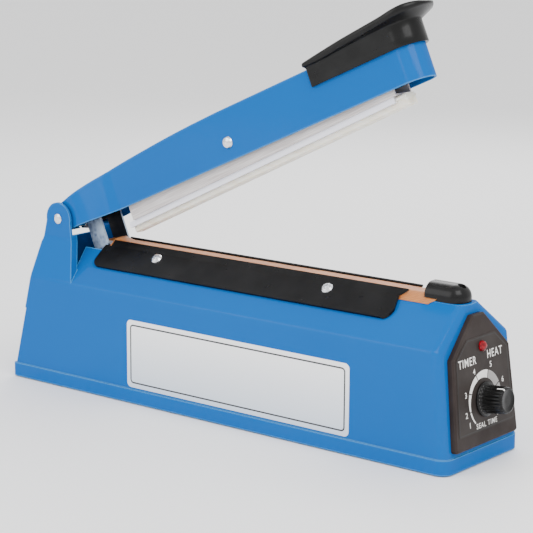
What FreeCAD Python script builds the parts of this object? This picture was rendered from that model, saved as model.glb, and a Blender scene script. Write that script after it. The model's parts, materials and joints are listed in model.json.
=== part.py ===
"""A 300 mm hand impulse sealer: housing, sealing bar, sprung arm, pressure bar and timer.

Millimetres, +Z up, length along X with the control panel at +X, Y across.
The origin is on the table under the middle of the whole machine's box.
The arm stands open, which is the rest position of every joint.
"""
import FreeCAD, Part
import math
import os
import re
import Sketcher

Vector = FreeCAD.Vector
Placement = FreeCAD.Placement
Rotation = FreeCAD.Rotation
X_AXIS = Vector(1, 0, 0)
Y_AXIS = Vector(0, 1, 0)
Z_AXIS = Vector(0, 0, 1)

SIZES = {
    # frame
    "middle_x": -9,             # the housing's middle, seen from the origin
    # housing
    "base_length": 430, "base_width": 95.8, "rim": 1, "skirt_top": 12, "skirt_round": 9,
    "low_half": 46.9, "crease_half": 46.1, "crease_top": 87.4, "top_half": 11.5, "top": 113.7,
    "wall": 2, "front_foot": 214, "rear_foot": 213.5, "front_lean": 6.3, "rear_lean": 14.5,
    "corner_round": 7, "crease_round": 3, "rear_round": 2, "least_round": 0.5,
    # hinge ears
    "hinge_x": -176, "hinge_z": 134.4, "ear_half": 31, "ear_knee": 118, "ear_round": 13.3,
    "ear_foot": 60, "ear_fold": 10, "pin_r": 3, "pin_fit": 0.05, "flange": 7,
    # base plate and feet
    "plate_bottom": 2, "plate_thick": 1.5, "foot_r": 7, "tab_x": 188, "tab_y": 38,
    # arm
    "arm_rise": 23.38, "arm_half": 14.5, "arm_wall": 1.5, "arm_drop": 10.9, "arm_top": 27.6,
    "nose_x": 353.5, "hinge_half": 27,
    # pressure bar
    "bar_along": 183.2, "bar_up": 2.8, "bar_rise": 24.96, "carrier_rear": 124, "carrier_front": 156,
    "carrier_half": 10, "carrier_low": 21.8, "carrier_high": 6, "carrier_wall": 1.2,
    "profile_rear": 131, "profile_front": 152, "profile_half": 8, "profile_low": 26.2,
    "strip_rear": 130, "strip_front": 161.5, "strip_half": 5, "strip_low": 31,
    "silicone_end_low": 22.2, "pivot_r": 2,
    # handle
    "grip_rear": 276, "grip_x": 354, "grip_half": 16.7, "grip_low": 14,
    "ledge_rear": 274.5, "ledge_x": 361, "ledge_half": 22, "ledge_rear_half": 19.3,
    # arm bracket
    "bracket_half": 12.7, "bracket_wall": 1.5, "bracket_rear": 11.5, "bracket_front": 28,
    "bracket_low": 40,
    # sealing bar
    "seal_rear": -148, "seal_front": 170, "seal_half": 5.5, "seal_high": 3, "tape_thick": 0.4,
    "wire_half": 2, "wire_thick": 0.3, "cloth_thick": 0.35, "cloth_front": 179,
    # clamp plates
    "clamp_rear": -140, "clamp_front": 156.4, "clamp_knee_end": 149.5, "clamp_foot_end": 153,
    "clamp_thick": 1.5, "clamp_low": 30.6,
    "clamp_screw_x": 84.4, "clamp_mid_x": 4.5,
    # end cap
    "cap_rear": 169.5, "cap_front": 200, "cap_half": 11, "cap_high": 12.3,
    "cap_screw_floor": 7.6, "cap_screw_edge": 6.2,
    # control panel, along the slope from the foot of the leaning wall
    "panel_thick": 4.8, "panel_low": 3.3, "panel_shoulder": 68.3, "panel_high": 95.5,
    "panel_half": 39.3, "panel_waist": 36, "panel_crown": 7.2, "dial_v": 34.7, "lamp_v": 72.6,
    "knob_r": 9.6, "knob_skirt_r": 12.5, "knob_length": 18.7, "shaft_r": 3, "bush_r": 3.5,
    # electrical parts
    "core_x": -40, "core_length": 66, "core_width": 36, "core_high": 55,
    "board_x": 150, "board_length": 60, "board_width": 56, "board_z": 12,
    "switch_x": -155.8, "switch_top": 89, "switch_high": 16, "switch_length": 28,
    "gland_z": 30, "gland_r": 3.6,
}

doc = FreeCAD.newDocument("ImpulseSealer")
sheet = doc.addObject("Spreadsheet::Sheet", "Sizes")
for row, (alias, value) in enumerate(SIZES.items(), start=1):
    sheet.set("A%d" % row, alias)
    sheet.set("B%d" % row, str(value))
    sheet.setAlias("B%d" % row, alias)
doc.recompute()


class Size:
    """Reads the sheet's cells: size.wall is the cell with the alias wall."""

    def __getattr__(self, alias):
        return sheet.get(alias)


size = Size()
nodes = {}


def from_sheet(text):
    """Turns the aliases in a formula into references to the sheet."""
    return re.sub(r"[a-z]\w+", lambda m: "Sizes." + m[0] if m[0] in SIZES else m[0], str(text))


def bind(thing, **formulas):
    for name, formula in formulas.items():
        thing.setExpression(name, from_sheet(formula))
    return thing


def sub_part(name, thing, placement):
    """Names a finished sub-part and puts it in its place."""
    thing.Label = name
    thing.Placement = placement
    nodes[name] = thing
    return thing


# ---------------------------------------------------------------- frames

def at_housing(x=0.0, y=0.0, z=0.0, rotation=Rotation()):
    return Placement(Vector(size.middle_x + x, y, z), rotation)


def tilt(degrees):
    """Turns +X up towards +Z by this many degrees."""
    return Rotation(Y_AXIS, -degrees)


def at_arm(x=0.0, y=0.0, z=0.0, rotation=Rotation()):
    """The arm's frame: origin on the hinge axis, x along the arm."""
    arm = at_housing(size.hinge_x, 0, size.hinge_z, tilt(size.arm_rise))
    return arm * Placement(Vector(x, y, z), rotation)


def at_bar(x=0.0, y=0.0, z=0.0, rotation=Rotation()):
    """The pressure bar's frame: origin on its rocking screw, x along the bar."""
    pivot = at_arm(size.bar_along, 0, size.bar_up).Base
    return Placement(pivot, tilt(size.bar_rise)) * Placement(Vector(x, y, z), rotation)


def at_panel(u=0.0, v=0.0, out=0.0, rotation=Rotation()):
    """The leaning end wall: u across, v up the slope from the skirt, out of the wall along local z."""
    lean = math.radians(size.front_lean)
    up = Vector(-math.sin(lean), 0, math.cos(lean))
    outward = Vector(math.cos(lean), 0, math.sin(lean))
    foot = at_housing(size.front_foot, 0, size.skirt_top)
    wall = Placement(foot.Base, Rotation(Y_AXIS, up, outward, "ZXY"))
    return wall * Placement(Vector(u, v, out), rotation)


def shoulder_slope():
    return math.degrees(math.atan2(size.top - size.crease_top, size.crease_half - size.top_half))


def at_shoulder(x, y, side, above=0.0):
    """A point above the sloping shoulder; side is -1 at the front and 1 at the back."""
    slope = math.radians(shoulder_slope())
    z = size.top - (y - size.top_half) * math.tan(slope)
    base = at_housing(x, side * (y + above * math.sin(slope)), z + above * math.cos(slope))
    return Placement(base.Base, Rotation(X_AXIS, -side * math.degrees(slope)))


# ---------------------------------------------------------------- building blocks

def outline(owner, plane, corners):
    """A closed sketch; each corner is two formulas, held by its distances from the origin."""
    sketch = owner.newObject("Sketcher::SketchObject", "Outline")
    ground = [f for f in owner.Origin.OriginFeatures if f.Role == plane][0]
    sketch.AttachmentSupport = [(ground, "")]
    sketch.MapMode = "FlatFace"
    count = len(corners)
    around = [2 * math.pi * i / count for i in range(count)]
    spots = [Vector(10 * math.cos(a), 10 * math.sin(a), 0) for a in around]
    for i in range(count):
        sketch.addGeometry(Part.LineSegment(spots[i], spots[(i + 1) % count]), False)
    for i in range(count):
        sketch.addConstraint(Sketcher.Constraint("Coincident", i, 2, (i + 1) % count, 1))
    for i, formulas in enumerate(corners):
        for kind, formula in zip(("DistanceX", "DistanceY"), formulas):
            index = sketch.addConstraint(Sketcher.Constraint(kind, -1, 1, i, 1, 1.0))
            sketch.setExpression("Constraints[%d]" % index, from_sheet(formula))
    return sketch


def prism(plane, corners, length, both_ways=True):
    """A body padded from one outline."""
    body = doc.addObject("PartDesign::Body", "Prism")
    pad = body.newObject("PartDesign::Pad", "Pad")
    pad.Profile = outline(body, plane, corners)
    pad.SideType = "Symmetric" if both_ways else "One side"
    bind(pad, Length=length)
    return body


def lathe(corners):
    """A body turned about Z from (radius, height) corners."""
    body = doc.addObject("PartDesign::Body", "Lathe")
    turn = body.newObject("PartDesign::Revolution", "Turn")
    sketch = outline(body, "XZ_Plane", corners)
    turn.Profile = sketch
    turn.ReferenceAxis = (sketch, ["V_Axis"])
    turn.Angle = 360
    return body


def box(x, y, z, length, width, height):
    """A block; x, y and z are formulas of its lowest corner."""
    block = doc.addObject("Part::Box", "Block")
    bind(block, Length=length, Width=width, Height=height)
    return bind(block, **{"Placement.Base.x": x, "Placement.Base.y": y, "Placement.Base.z": z})


def rod(radius, height, place):
    """A cylinder that stands on place, along its local z."""
    cylinder = doc.addObject("Part::Cylinder", "Rod")
    bind(cylinder, Radius=radius, Height=height)
    cylinder.Placement = place
    return cylinder


def cut(base, *tools):
    for tool in tools:
        result = doc.addObject("Part::Cut", "Cut")
        result.Base = base
        result.Tool = tool
        base = result
    return base


def fuse(*shapes):
    result = doc.addObject("Part::MultiFuse", "Fuse")
    result.Shapes = list(shapes)
    return result


def common(*shapes):
    result = doc.addObject("Part::MultiCommon", "Common")
    result.Shapes = list(shapes)
    return result


def group(*shapes):
    """Separate solids that share one node."""
    result = doc.addObject("Part::Compound", "Group")
    result.Links = list(shapes)
    return result


def copy_of(master, place):
    link = doc.addObject("App::Link", "Copy")
    link.LinkedObject = master
    link.Placement = place
    return link


def mirrored(shape):
    """The same piece on the other side of the middle plane."""
    result = doc.addObject("Part::Mirroring", "Mirrored")
    result.Source = shape
    result.Normal = Y_AXIS
    return result


def rounded(shape, *rounds):
    """Fillets edges: each round is a radius and a test of an edge's middle and direction."""
    doc.recompute()
    result = doc.addObject("Part::Fillet", "Rounded")
    result.Base = shape
    edges = []
    for index, edge in enumerate(shape.Shape.Edges, start=1):
        direction = edge.Vertexes[-1].Point - edge.Vertexes[0].Point
        for radius, wanted in rounds:
            if direction.Length > 1e-6 and wanted(edge.CenterOfMass, direction.normalize()):
                edges.append((index, radius, radius))
    result.Edges = edges
    return result


def along_y(point, direction):
    return abs(direction.y) > 0.999


def along_z(point, direction):
    return abs(direction.z) > 0.999


# lying along Y, with local z pointing to the back
ACROSS = Rotation(X_AXIS, -90)


# ---------------------------------------------------------------- housing

def housing_solid(inset):
    """The closed outer form when inset is 0, or the cavity when it is the wall's thickness."""
    section = prism("YZ_Plane", [
        ("-(low_half - %s)" % inset, 0), ("-(crease_half - %s)" % inset, "crease_top - %s / 2" % inset),
        ("-(top_half - %s / 2)" % inset, "top - %s" % inset), ("top_half - %s / 2" % inset,
                                                               "top - %s" % inset),
        ("crease_half - %s" % inset, "crease_top - %s / 2" % inset), ("low_half - %s" % inset, 0),
    ], "base_length + 40")
    foot, head = "skirt_top - 4", "top + 5"
    front_wall = "front_foot - %s - (%s - skirt_top) * tan(front_lean * 1deg)"
    rear_wall = "-(rear_foot - %s - (%s - skirt_top) * tan(rear_lean * 1deg))"
    profile = prism("XZ_Plane", [
        (rear_wall % (inset, foot), foot), (front_wall % (inset, foot), foot),
        (front_wall % (inset, head), head), (rear_wall % (inset, head), head),
    ], "base_width + 20")
    creases = (inner_round("crease_round", inset), lambda p,
               d: abs(d.x) > 0.999 and abs(p.y) > 20 and p.z > 50)
    front = (inner_round("corner_round", inset), lambda p, d: is_wall_corner(p, d) and p.x > 0)
    rear = (inner_round("rear_round", inset), lambda p, d: is_wall_corner(p, d) and p.x < 0)
    return rounded(common(section, profile), creases, front, rear)


def is_wall_corner(point, direction):
    """An edge where the long wall or its shoulder meets an end wall."""
    return abs(direction.x) < 0.5 and point.z > 30 and abs(point.y) > 20


def inner_round(alias, inset):
    """A corner's radius on a form that lies this far inside the outer one."""
    inward = sheet.get(inset) if inset in SIZES else float(inset)
    return max(sheet.get(alias) - inward, size.least_round)


def skirt_solid(inset, low, high):
    block = box("-base_length / 2 + %s" % inset, "-base_width / 2 + %s" % inset, low,
                "base_length - 2 * %s" % inset, "base_width - 2 * %s" % inset, "%s - (%s)" % (high, low))
    front = (inner_round("skirt_round", inset), lambda p, d: along_z(p, d) and p.x > 0)
    rear = (inner_round("rear_round", inset), lambda p, d: along_z(p, d) and p.x < 0)
    return rounded(block, front, rear)


def ear_band(inward):
    """The near ear's sheet seen along the machine: it leans in above the crease, then stands upright."""
    low, high = "ear_foot", "hinge_z + ear_round + 5"
    foot_y = "-(low_half - (low_half - crease_half) * ear_foot / crease_top - %s)"
    band = prism("YZ_Plane", [
        (foot_y % 0, low), ("-crease_half", "crease_top"), ("-ear_half", "ear_knee"), ("-ear_half", high),
        ("-(ear_half - %s)" % inward, high), ("-(ear_half - %s)" % inward, "ear_knee"),
        ("-(crease_half - %s)" % inward, "crease_top"), (foot_y % inward, low),
    ], "base_length + 10")
    def is_fold(point, direction):
        return abs(direction.x) > 0.999 and min(abs(point.z - size.crease_top),
                                                abs(point.z - size.ear_knee)) < 1

    return rounded(band, (size.ear_fold, is_fold))


def ear_solid():
    """The near ear: a sheet that goes on from the side wall, with a turned-in edge at its front."""
    front_knee = ("hinge_x + 14.6", "ear_knee")
    front_low = ("hinge_x + 27.8", "crease_top + 1")
    rear_foot = "-(rear_foot - (%s - skirt_top) * tan(rear_lean * 1deg))"
    plate = prism("XZ_Plane", [
        (rear_foot % "ear_foot", "ear_foot"), (rear_foot % "crease_top", "crease_top"),
        ("hinge_x - 17.9", "ear_knee - 4"), ("hinge_x - 13.1", "hinge_z - 2"), ("hinge_x + 13.1",
                                                                                "hinge_z - 2"),
        front_knee, front_low, ("hinge_x + 27.8", "ear_foot"),
    ], "base_width + 10")
    crown = rod("ear_round", "base_width + 10", Placement(
        Vector(size.hinge_x, -size.base_width / 2 - 5, size.hinge_z), ACROSS))
    sheet_part = common(ear_band("wall"), fuse(plate, crown))
    edge_strip = prism("XZ_Plane", [
        front_knee, front_low, ("hinge_x + 25.9", "crease_top + 1"), ("hinge_x + 12.7", "ear_knee"),
        ("hinge_x + 12", "ear_knee + 4"), ("hinge_x + 13.9", "ear_knee + 4"),
    ], "base_width + 10")
    turned_in = common(ear_band("flange"), edge_strip)
    near_half = box("-base_length / 2", "-base_width", 0, "base_length", "base_width", "200")
    return common(fuse(sheet_part, turned_in), near_half)


def build_housing():
    outer = fuse(housing_solid("0"), skirt_solid("0", "rim", "skirt_top"))
    upper_cavity = housing_solid("wall")
    skirt_cavity = skirt_solid("wall", "rim - 1", "skirt_top - 3")
    above_shoulder = prism("XZ_Plane", [
        ("hinge_x + 26", "crease_top - 4"), ("hinge_x + 26", "crease_top"), ("hinge_x + 13", "top + 2"),
        ("-base_length", "top + 2"), ("-base_length", "crease_top - 4"),
    ], "base_width + 10")
    bracket_slot = box("hinge_x - 5", "-15", "top - 8", "48", "30", "12")
    shell = cut(outer, upper_cavity, skirt_cavity, above_shoulder, bracket_slot)
    near_ear = ear_solid()
    # the rear wall goes on up between the ears, below the arm
    rear_sheet = prism("XZ_Plane", [
        ("-(rear_foot - (crease_top - 8 - skirt_top) * tan(rear_lean * 1deg))", "crease_top - 8"),
        ("-(rear_foot - wall - (crease_top - 8 - skirt_top) * tan(rear_lean * 1deg))", "crease_top - 8"),
        ("-(rear_foot - wall - (crease_top - skirt_top) * tan(rear_lean * 1deg))", "crease_top"),
        ("hinge_x - 15.9", "ear_knee - 4"), ("hinge_x - 17.9", "ear_knee - 4"),
        ("-(rear_foot - (crease_top - skirt_top) * tan(rear_lean * 1deg))", "crease_top"),
    ], "base_width + 10")
    between_ears = prism("YZ_Plane", [
        ("-crease_half + 1", "crease_top - 10"), ("-crease_half + 1", "crease_top"),
        ("-ear_half + 1", "ear_knee"), ("-ear_half + 1", "top + 9"), ("ear_half - 1", "top + 9"),
        ("ear_half - 1", "ear_knee"), ("crease_half - 1", "crease_top"), ("crease_half - 1",
                                                                          "crease_top - 10"),
    ], "base_length + 10")
    rear_plate = common(rear_sheet, between_ears)
    tabs = [box("%d * tab_x - 8" % i, "%d * tab_y - 7" % j, "plate_bottom + plate_thick", "16", "14", "2")
            for i in (-1, 1) for j in (-1, 1)]
    tab_walls = [box("%d * tab_x - 8" % i, "%s" % y, "plate_bottom + plate_thick", "16", "3", "8")
                 for i in (-1, 1) for y in ("-low_half + 0.6", "low_half - 3.6")]
    body = fuse(shell, near_ear, mirrored(near_ear), rear_plate, *tabs, *tab_walls)
    pin_hole = rod("pin_r + pin_fit", "base_width", Placement(
        Vector(size.hinge_x, -size.base_width / 2, size.hinge_z), ACROSS))
    screw_holes = [rod("1.7", "10", Placement(Vector(i * size.tab_x, j * size.tab_y, 0), Rotation()))
                   for i in (-1, 1) for j in (-1, 1)]
    clamp_holes = [rod("1.7", "12", at_housing().inverse() * at_shoulder(x, 16.6, side, -8))
                   for side in (-1, 1) for x in clamp_screw_places()]
    cap_hole = rod("1.7", "8", Placement(Vector(cap_screw_x(), 0, size.top - 4), Rotation()))
    panel_holes = [rod("bush_r + 0.3", "10", at_housing().inverse() * at_panel(0, size.dial_v, -6)),
                   rod("3.3", "10", at_housing().inverse() * at_panel(0, size.lamp_v, -6))]
    panel_pegs = [rod("1.7", "10", at_housing().inverse() * at_panel(u, v, -6)) for u,
                  v in panel_screw_places()]
    gland_hole = rod("6.05", "16", at_housing().inverse() * at_rear_wall(-8))
    post_holes = [rod("3", "10", Placement(Vector(x, 0, size.top - 5), Rotation())) for x in post_places()]
    body = cut(body, pin_hole, *screw_holes, *clamp_holes, *panel_holes, *panel_pegs, gland_hole,
               *post_holes, cap_hole)
    sub_part("housing", body, at_housing())


def clamp_screw_places():
    return (size.clamp_mid_x - size.clamp_screw_x, size.clamp_mid_x + size.clamp_screw_x)


def cap_screw_x():
    return size.cap_front - size.cap_screw_edge


def panel_screw_places():
    return ((-30, 10), (30, 10), (0, 88))


def post_places():
    return (-118, 178)


def build_base():
    plate = box("-base_length / 2 + 7", "-low_half + 3.5", "plate_bottom",
                "base_length - 14", "2 * low_half - 7", "plate_thick")
    plate = rounded(plate, (5, along_z))
    holes = [rod("1.7", "6", Placement(Vector(i * size.tab_x, j * size.tab_y, 0), Rotation()))
             for i in (-1, 1) for j in (-1, 1)]
    sub_part("base_plate", cut(plate, *holes), at_housing())
    foot = lathe([(0, 0), ("foot_r - 0.8", 0), ("foot_r", "0.8"), ("foot_r", "plate_bottom"),
                  (0, "plate_bottom")])
    feet = [copy_of(foot, Placement(Vector(i * (size.tab_x - 18), j * (size.tab_y - 4), 0), Rotation()))
            for i in (-1, 1) for j in (-1, 1)]
    sub_part("rubber_feet", group(*feet), at_housing())
    screw = lathe([(0, "plate_bottom - 1.4"), ("2.2", "plate_bottom - 1.4"), ("2.8", "plate_bottom - 0.8"),
                   ("2.8", "plate_bottom"), ("1.5", "plate_bottom"), ("1.5", "plate_bottom + 7"),
                   (0, "plate_bottom + 7")])
    screws = [copy_of(screw, Placement(Vector(i * size.tab_x, j * size.tab_y, 0), Rotation()))
              for i in (-1, 1) for j in (-1, 1)]
    sub_part("base_screws", group(*screws), at_housing())


def at_rear_wall(outward):
    """On the leaning rear wall at the grommet's height, with local z pointing out of the wall."""
    lean = math.radians(size.rear_lean)
    wall_x = -size.rear_foot + (size.gland_z - size.skirt_top) * math.tan(lean)
    facing = Rotation(Y_AXIS, size.rear_lean - 90)
    return at_housing(wall_x, 0, size.gland_z, facing) * Placement(Vector(0, 0, outward), Rotation())


def build_rear_inlet():
    """The grommet that the mains lead would pass through."""
    ring = lathe([("gland_r", "-wall - 2.3"), (7.6, "-wall - 2.3"), (7.6, "-wall - 0.3"),
                  (5.9, "-wall - 0.3"),
                  (5.9, 0.3), (8.5, 0.3), (8.5, 1.6), (7.3, 2.6), ("gland_r", 2.6)])
    sub_part("cord_grommet", ring, at_rear_wall(0))


# ---------------------------------------------------------------- control panel

def build_panel():
    plate = prism("XY_Plane", [
        ("-panel_half", "panel_low"), ("panel_half", "panel_low"), ("panel_waist", "panel_shoulder"),
        ("panel_crown", "panel_high"), ("-panel_crown", "panel_high"), ("-panel_waist", "panel_shoulder"),
    ], "panel_thick", both_ways=False)
    plate = rounded(plate, (2.5, along_z))
    doc.recompute()
    bevel = doc.addObject("Part::Chamfer", "Bevel")
    bevel.Base = plate
    bevel.Edges = [(i, 1.2, 1.2) for i, e in enumerate(plate.Shape.Edges, start=1)
                   if e.CenterOfMass.z > size.panel_thick - 0.01]
    holes = [rod("bush_r + 0.3", "10", Placement(Vector(0, size.dial_v, -3), Rotation())),
             rod("3.3", "10", Placement(Vector(0, size.lamp_v, -3), Rotation()))]
    pegs = [rod("1.6", "7", Placement(Vector(u, v, -6), Rotation())) for u, v in panel_screw_places()]
    sub_part("control_panel", fuse(cut(bevel, *holes), *pegs), at_panel(0, 0, 0.02))
    film = prism("XY_Plane", [
        (-35, 13.3), (35, 13.3), (32.5, 67.5), (18, 79.9), (-18, 79.9), (-32.5, 67.5),
    ], "0.2", both_ways=False)
    film_holes = [rod("bush_r + 0.8", "10", Placement(Vector(0, size.dial_v, -3), Rotation())),
                  rod("3.9", "10", Placement(Vector(0, size.lamp_v, -3), Rotation()))]
    sub_part("dial_label", cut(rounded(film, (1.5, along_z)), *film_holes),
             at_panel(0, 0, size.panel_thick + 0.03))
    dome = lathe([(0, -4), (3.1, -4), (3.1, "panel_thick + 0.4"), (3.8, "panel_thick + 0.4"),
                  (3.8, "panel_thick + 1.2"), (3.3, "panel_thick + 2.6"), (2.1, "panel_thick + 3.6"),
                  (0, "panel_thick + 4")])
    sub_part("indicator_lamp", dome, at_panel(0, size.lamp_v, 0))
    holder = lathe([(0, -22), (4.6, -22), (4.6, -4.2), (0, -4.2)])
    sub_part("lamp_holder", holder, at_panel(0, size.lamp_v, 0))
    pegs_cap = lathe([(1.65, "-wall - 2.4"), (3.4, "-wall - 2.4"), (3.4, "-wall - 0.2"),
                      (1.65, "-wall - 0.2")])
    clips = [copy_of(pegs_cap, Placement(Vector(u, v, 0), Rotation())) for u, v in panel_screw_places()]
    sub_part("panel_clips", group(*clips), at_panel())


def build_timer():
    can = lathe([(0, "-wall - 10"), ("8.2", "-wall - 10"), ("8.2", "-wall - 0.1"), ("bush_r", "-wall - 0.1"),
                 ("bush_r", "panel_thick + 3"), ("shaft_r + pin_fit", "panel_thick + 3"),
                 ("shaft_r + pin_fit", "-wall - 4"), (0, "-wall - 4")])
    sub_part("potentiometer", can, at_panel(0, size.dial_v, 0))
    corners = [(5.2 * math.cos(math.radians(60 * i)), 5.2 * math.sin(math.radians(60 * i))) for i in range(6)]
    hexagon = prism("XY_Plane", corners, "1.8", both_ways=False)
    nut = cut(hexagon, rod("bush_r + 0.02", "6", Placement(Vector(0, 0, -2), Rotation())))
    sub_part("potentiometer_nut", nut, at_panel(0, size.dial_v, size.panel_thick + 0.3))
    shaft = lathe([(0, 0), ("shaft_r", 0), ("shaft_r", 16), ("shaft_r - 0.5", 16.5), (0, 16.5)])
    sub_part("timer_shaft", shaft, at_panel(0, size.dial_v, -size.wall - 3.5))
    top = "knob_length - 1"
    knob = lathe([(0, 4.2), ("shaft_r + 3.2", 4.2), ("shaft_r + 3.2", 0), ("knob_skirt_r", 0),
                  ("knob_skirt_r", 1.6), ("knob_r + 0.9", 2.6), ("knob_r", top), ("knob_r - 1",
                                                                                  "knob_length"),
                  (0, "knob_length")])
    flute = rod("1.1", "knob_length", Placement(Vector(size.knob_r + 0.7, 0, 3.2), Rotation()))
    flutes = [copy_of(flute, Placement(Vector(), Rotation(Z_AXIS, 20.0 * i))) for i in range(18)]
    bore = rod("shaft_r", "8", Placement(Vector(0, 0, 2.4), Rotation()))
    sub_part("timer_knob", cut(knob, fuse(*flutes), bore), at_panel(0, size.dial_v, size.panel_thick + 0.5))


# ---------------------------------------------------------------- sealing bar

def build_sealing_bar():
    bar = box("seal_rear", "-seal_half", "top", "seal_front - seal_rear", "2 * seal_half", "seal_high")
    sockets = [rod("2.5", "10", Placement(Vector(x, 0, size.top - 2), Rotation())) for x in post_places()[:1]]
    sub_part("heater_bar", cut(bar, *sockets), at_housing())
    tape = box("seal_rear", "-seal_half + 0.5", "top + seal_high", "seal_front - seal_rear",
               "2 * seal_half - 1", "tape_thick")
    sub_part("insulation_strip", cut(tape, rod("2.5", "10", Placement(
        Vector(post_places()[0], 0, size.top), Rotation()))), at_housing())
    wire = box("seal_rear + 3", "-wire_half", "top + seal_high + tape_thick",
               "cap_rear + 6 - seal_rear", "2 * wire_half", "wire_thick")
    sub_part("heating_wire", wire, at_housing())
    post = lathe([(0, "top - 20"), ("3.6", "top - 20"), ("3.6", "top - 17"), ("2.4", "top - 17"),
                  ("2.4", "top + 2.6"), (0, "top + 2.6")])
    posts = [copy_of(post, Placement(Vector(x, 0, 0), Rotation())) for x in post_places()]
    sub_part("terminal_posts", group(*posts), at_housing())
    inner = "top + seal_high + tape_thick + wire_thick + 0.05"
    low = "top - 2.24"
    cloth = prism("YZ_Plane", [
        (-14.6, low), (-11.7, "top + 0.12"), ("-seal_half - 1", inner), ("seal_half + 1", inner),
        (11.7, "top + 0.12"), (14.6, low), (14.6, low + " + cloth_thick"),
        (11.9, "top + 0.12 + cloth_thick"), ("seal_half + 1.2", inner + " + cloth_thick"),
        ("-seal_half - 1.2", inner + " + cloth_thick"), (-11.9, "top + 0.12 + cloth_thick"),
        (-14.6, low + " + cloth_thick"),
    ], "cloth_front - seal_rear + 4")
    middle = (size.cloth_front + size.seal_rear - 4) / 2
    sub_part("ptfe_cloth", cut(cloth, *bracket_room(middle, 7.6)), at_housing(middle))


def bracket_room(middle, inner):
    """Blocks that keep the cloth and the clamp plates clear of the arm's bracket."""
    return [box("seal_rear - 10 - %g" % middle, y, "top - 12", "24.5", "13.6 - %g" % inner, "24")
            for y in (-13.6, inner)]


def build_clamps():
    """Two folded plates that hold the cloth down on the shoulders."""
    slope = math.radians(shoulder_slope())
    down = math.tan(slope)
    foot_y, knee_y, lip_y = size.clamp_low, 12.4, 8.6
    lift = 0.75
    lip_z = size.top + 4.6

    def on_slope(y, above):
        return size.top - (y - size.top_half) * down + above / math.cos(slope)

    thick = size.clamp_thick
    corners = [(-foot_y, on_slope(foot_y, lift)), (-knee_y, on_slope(knee_y, lift)), (-lip_y, lip_z - 0.2),
               (-lip_y - 0.5, lip_z + 0.75), (-knee_y - 1.15, on_slope(knee_y + 1.15, lift + thick)),
               (-foot_y - 0.8, on_slope(foot_y + 0.8, lift + thick))]
    near = prism("YZ_Plane", corners, "clamp_front - clamp_rear")
    mid_x = (size.clamp_front + size.clamp_rear) / 2
    near = rounded(near, (8, lambda p, d: abs(p.y + foot_y + 0.4) < 0.1 and p.x < 0))
    corner_x, corner_y = size.clamp_foot_end - mid_x - 8, -foot_y - 0.8 + 8
    bends = [math.radians(18 * i) for i in range(6)]
    corner = [(corner_x + 8 * math.cos(a), corner_y - 8 * math.sin(a)) for a in bends]
    front_end = prism("XY_Plane", [
        ("clamp_front - %g" % mid_x, -lip_y + 0.8), ("clamp_knee_end - %g" % mid_x, -knee_y),
        *corner, (corner_x, -foot_y - 3), ("clamp_front", -foot_y - 3), ("clamp_front", -lip_y + 0.8),
    ], "4 * top")
    near = cut(near, front_end)
    holes = [rod("1.7", "12", Placement(Vector(-mid_x, 0, 0), Rotation()) * strip_middle(
        at_shoulder(x, 16.6, -1, -4))) for x in clamp_screw_places()]
    near = cut(near, *holes, *bracket_room(mid_x, 0))
    sub_part("front_clamp_plate", copy_of(near, Placement()), at_housing(mid_x))
    sub_part("rear_clamp_plate", mirrored(near), at_housing(mid_x))
    screw = lathe([(0, 0), (1.5, 0), (1.5, 8), (4.5, 8), (4.5, 8.7), (3.4, 10), (1.6, 10.6), (0, 10.7)])
    slots = fuse(box(-0.5, -2.6, 9.4, 1, 5.2, 3), box(-2.6, -0.5, 9.4, 5.2, 1, 3))
    pan_head = cut(screw, slots)
    above = 0.75 + size.clamp_thick - 8
    screws = [copy_of(pan_head, at_shoulder(x, 16.6, side, above)) for side in (-1, 1)
              for x in clamp_screw_places()]
    sub_part("clamp_screws", group(*screws), Placement())


def strip_middle(place):
    """The same place counted from the housing's middle instead of the origin."""
    return Placement(Vector(-size.middle_x, 0, 0), Rotation()) * place


def build_end_cap():
    block = box("cap_rear", "-cap_half", "top + 0.05", "cap_front - cap_rear", "2 * cap_half", "cap_high")
    block = rounded(block, (10.5, lambda p, d: along_z(p, d) and p.x > size.cap_rear + 1))
    block = rounded(block,
                    (9.3, lambda p, d: p.z > size.top + size.cap_high - 0.1 and p.x > size.cap_rear + 1))
    hollow = box("cap_rear - 1", "-seal_half - 2", "top - 1", "cap_front - cap_rear - 10",
                 "2 * seal_half + 4", "8")
    cloth_room = prism("YZ_Plane", [
        (-16, "top - 4"), (-12.6, "top + 0.9"), ("-seal_half - 1.6", "top + 4.4"),
        ("seal_half + 1.6", "top + 4.4"), (12.6, "top + 0.9"), (16, "top - 4"),
    ], "2 * (cloth_front - cap_rear + 1)")
    cloth_room = copy_of(cloth_room, Placement(Vector(size.cap_rear, 0, 0), Rotation()))
    hole = rod("1.8", "30", Placement(Vector(cap_screw_x(), 0, size.top - 2), Rotation()))
    counterbore = rod("3", "10",
                      Placement(Vector(cap_screw_x(), 0, size.top + size.cap_screw_floor), Rotation()))
    sub_part("end_cap", cut(block, hollow, cloth_room, hole, counterbore), at_housing())
    head_low, head_high = "2.05 + cap_screw_floor", "3.6 + cap_screw_floor"
    screw = lathe([(0, 0), (1.5, 0), (1.5, head_low), (2.7, head_low), (2.7, head_high), (0, head_high)])
    sub_part("end_cap_screw", screw, at_housing(cap_screw_x(), 0, size.top - 2))


# ---------------------------------------------------------------- hinge and arm

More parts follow.
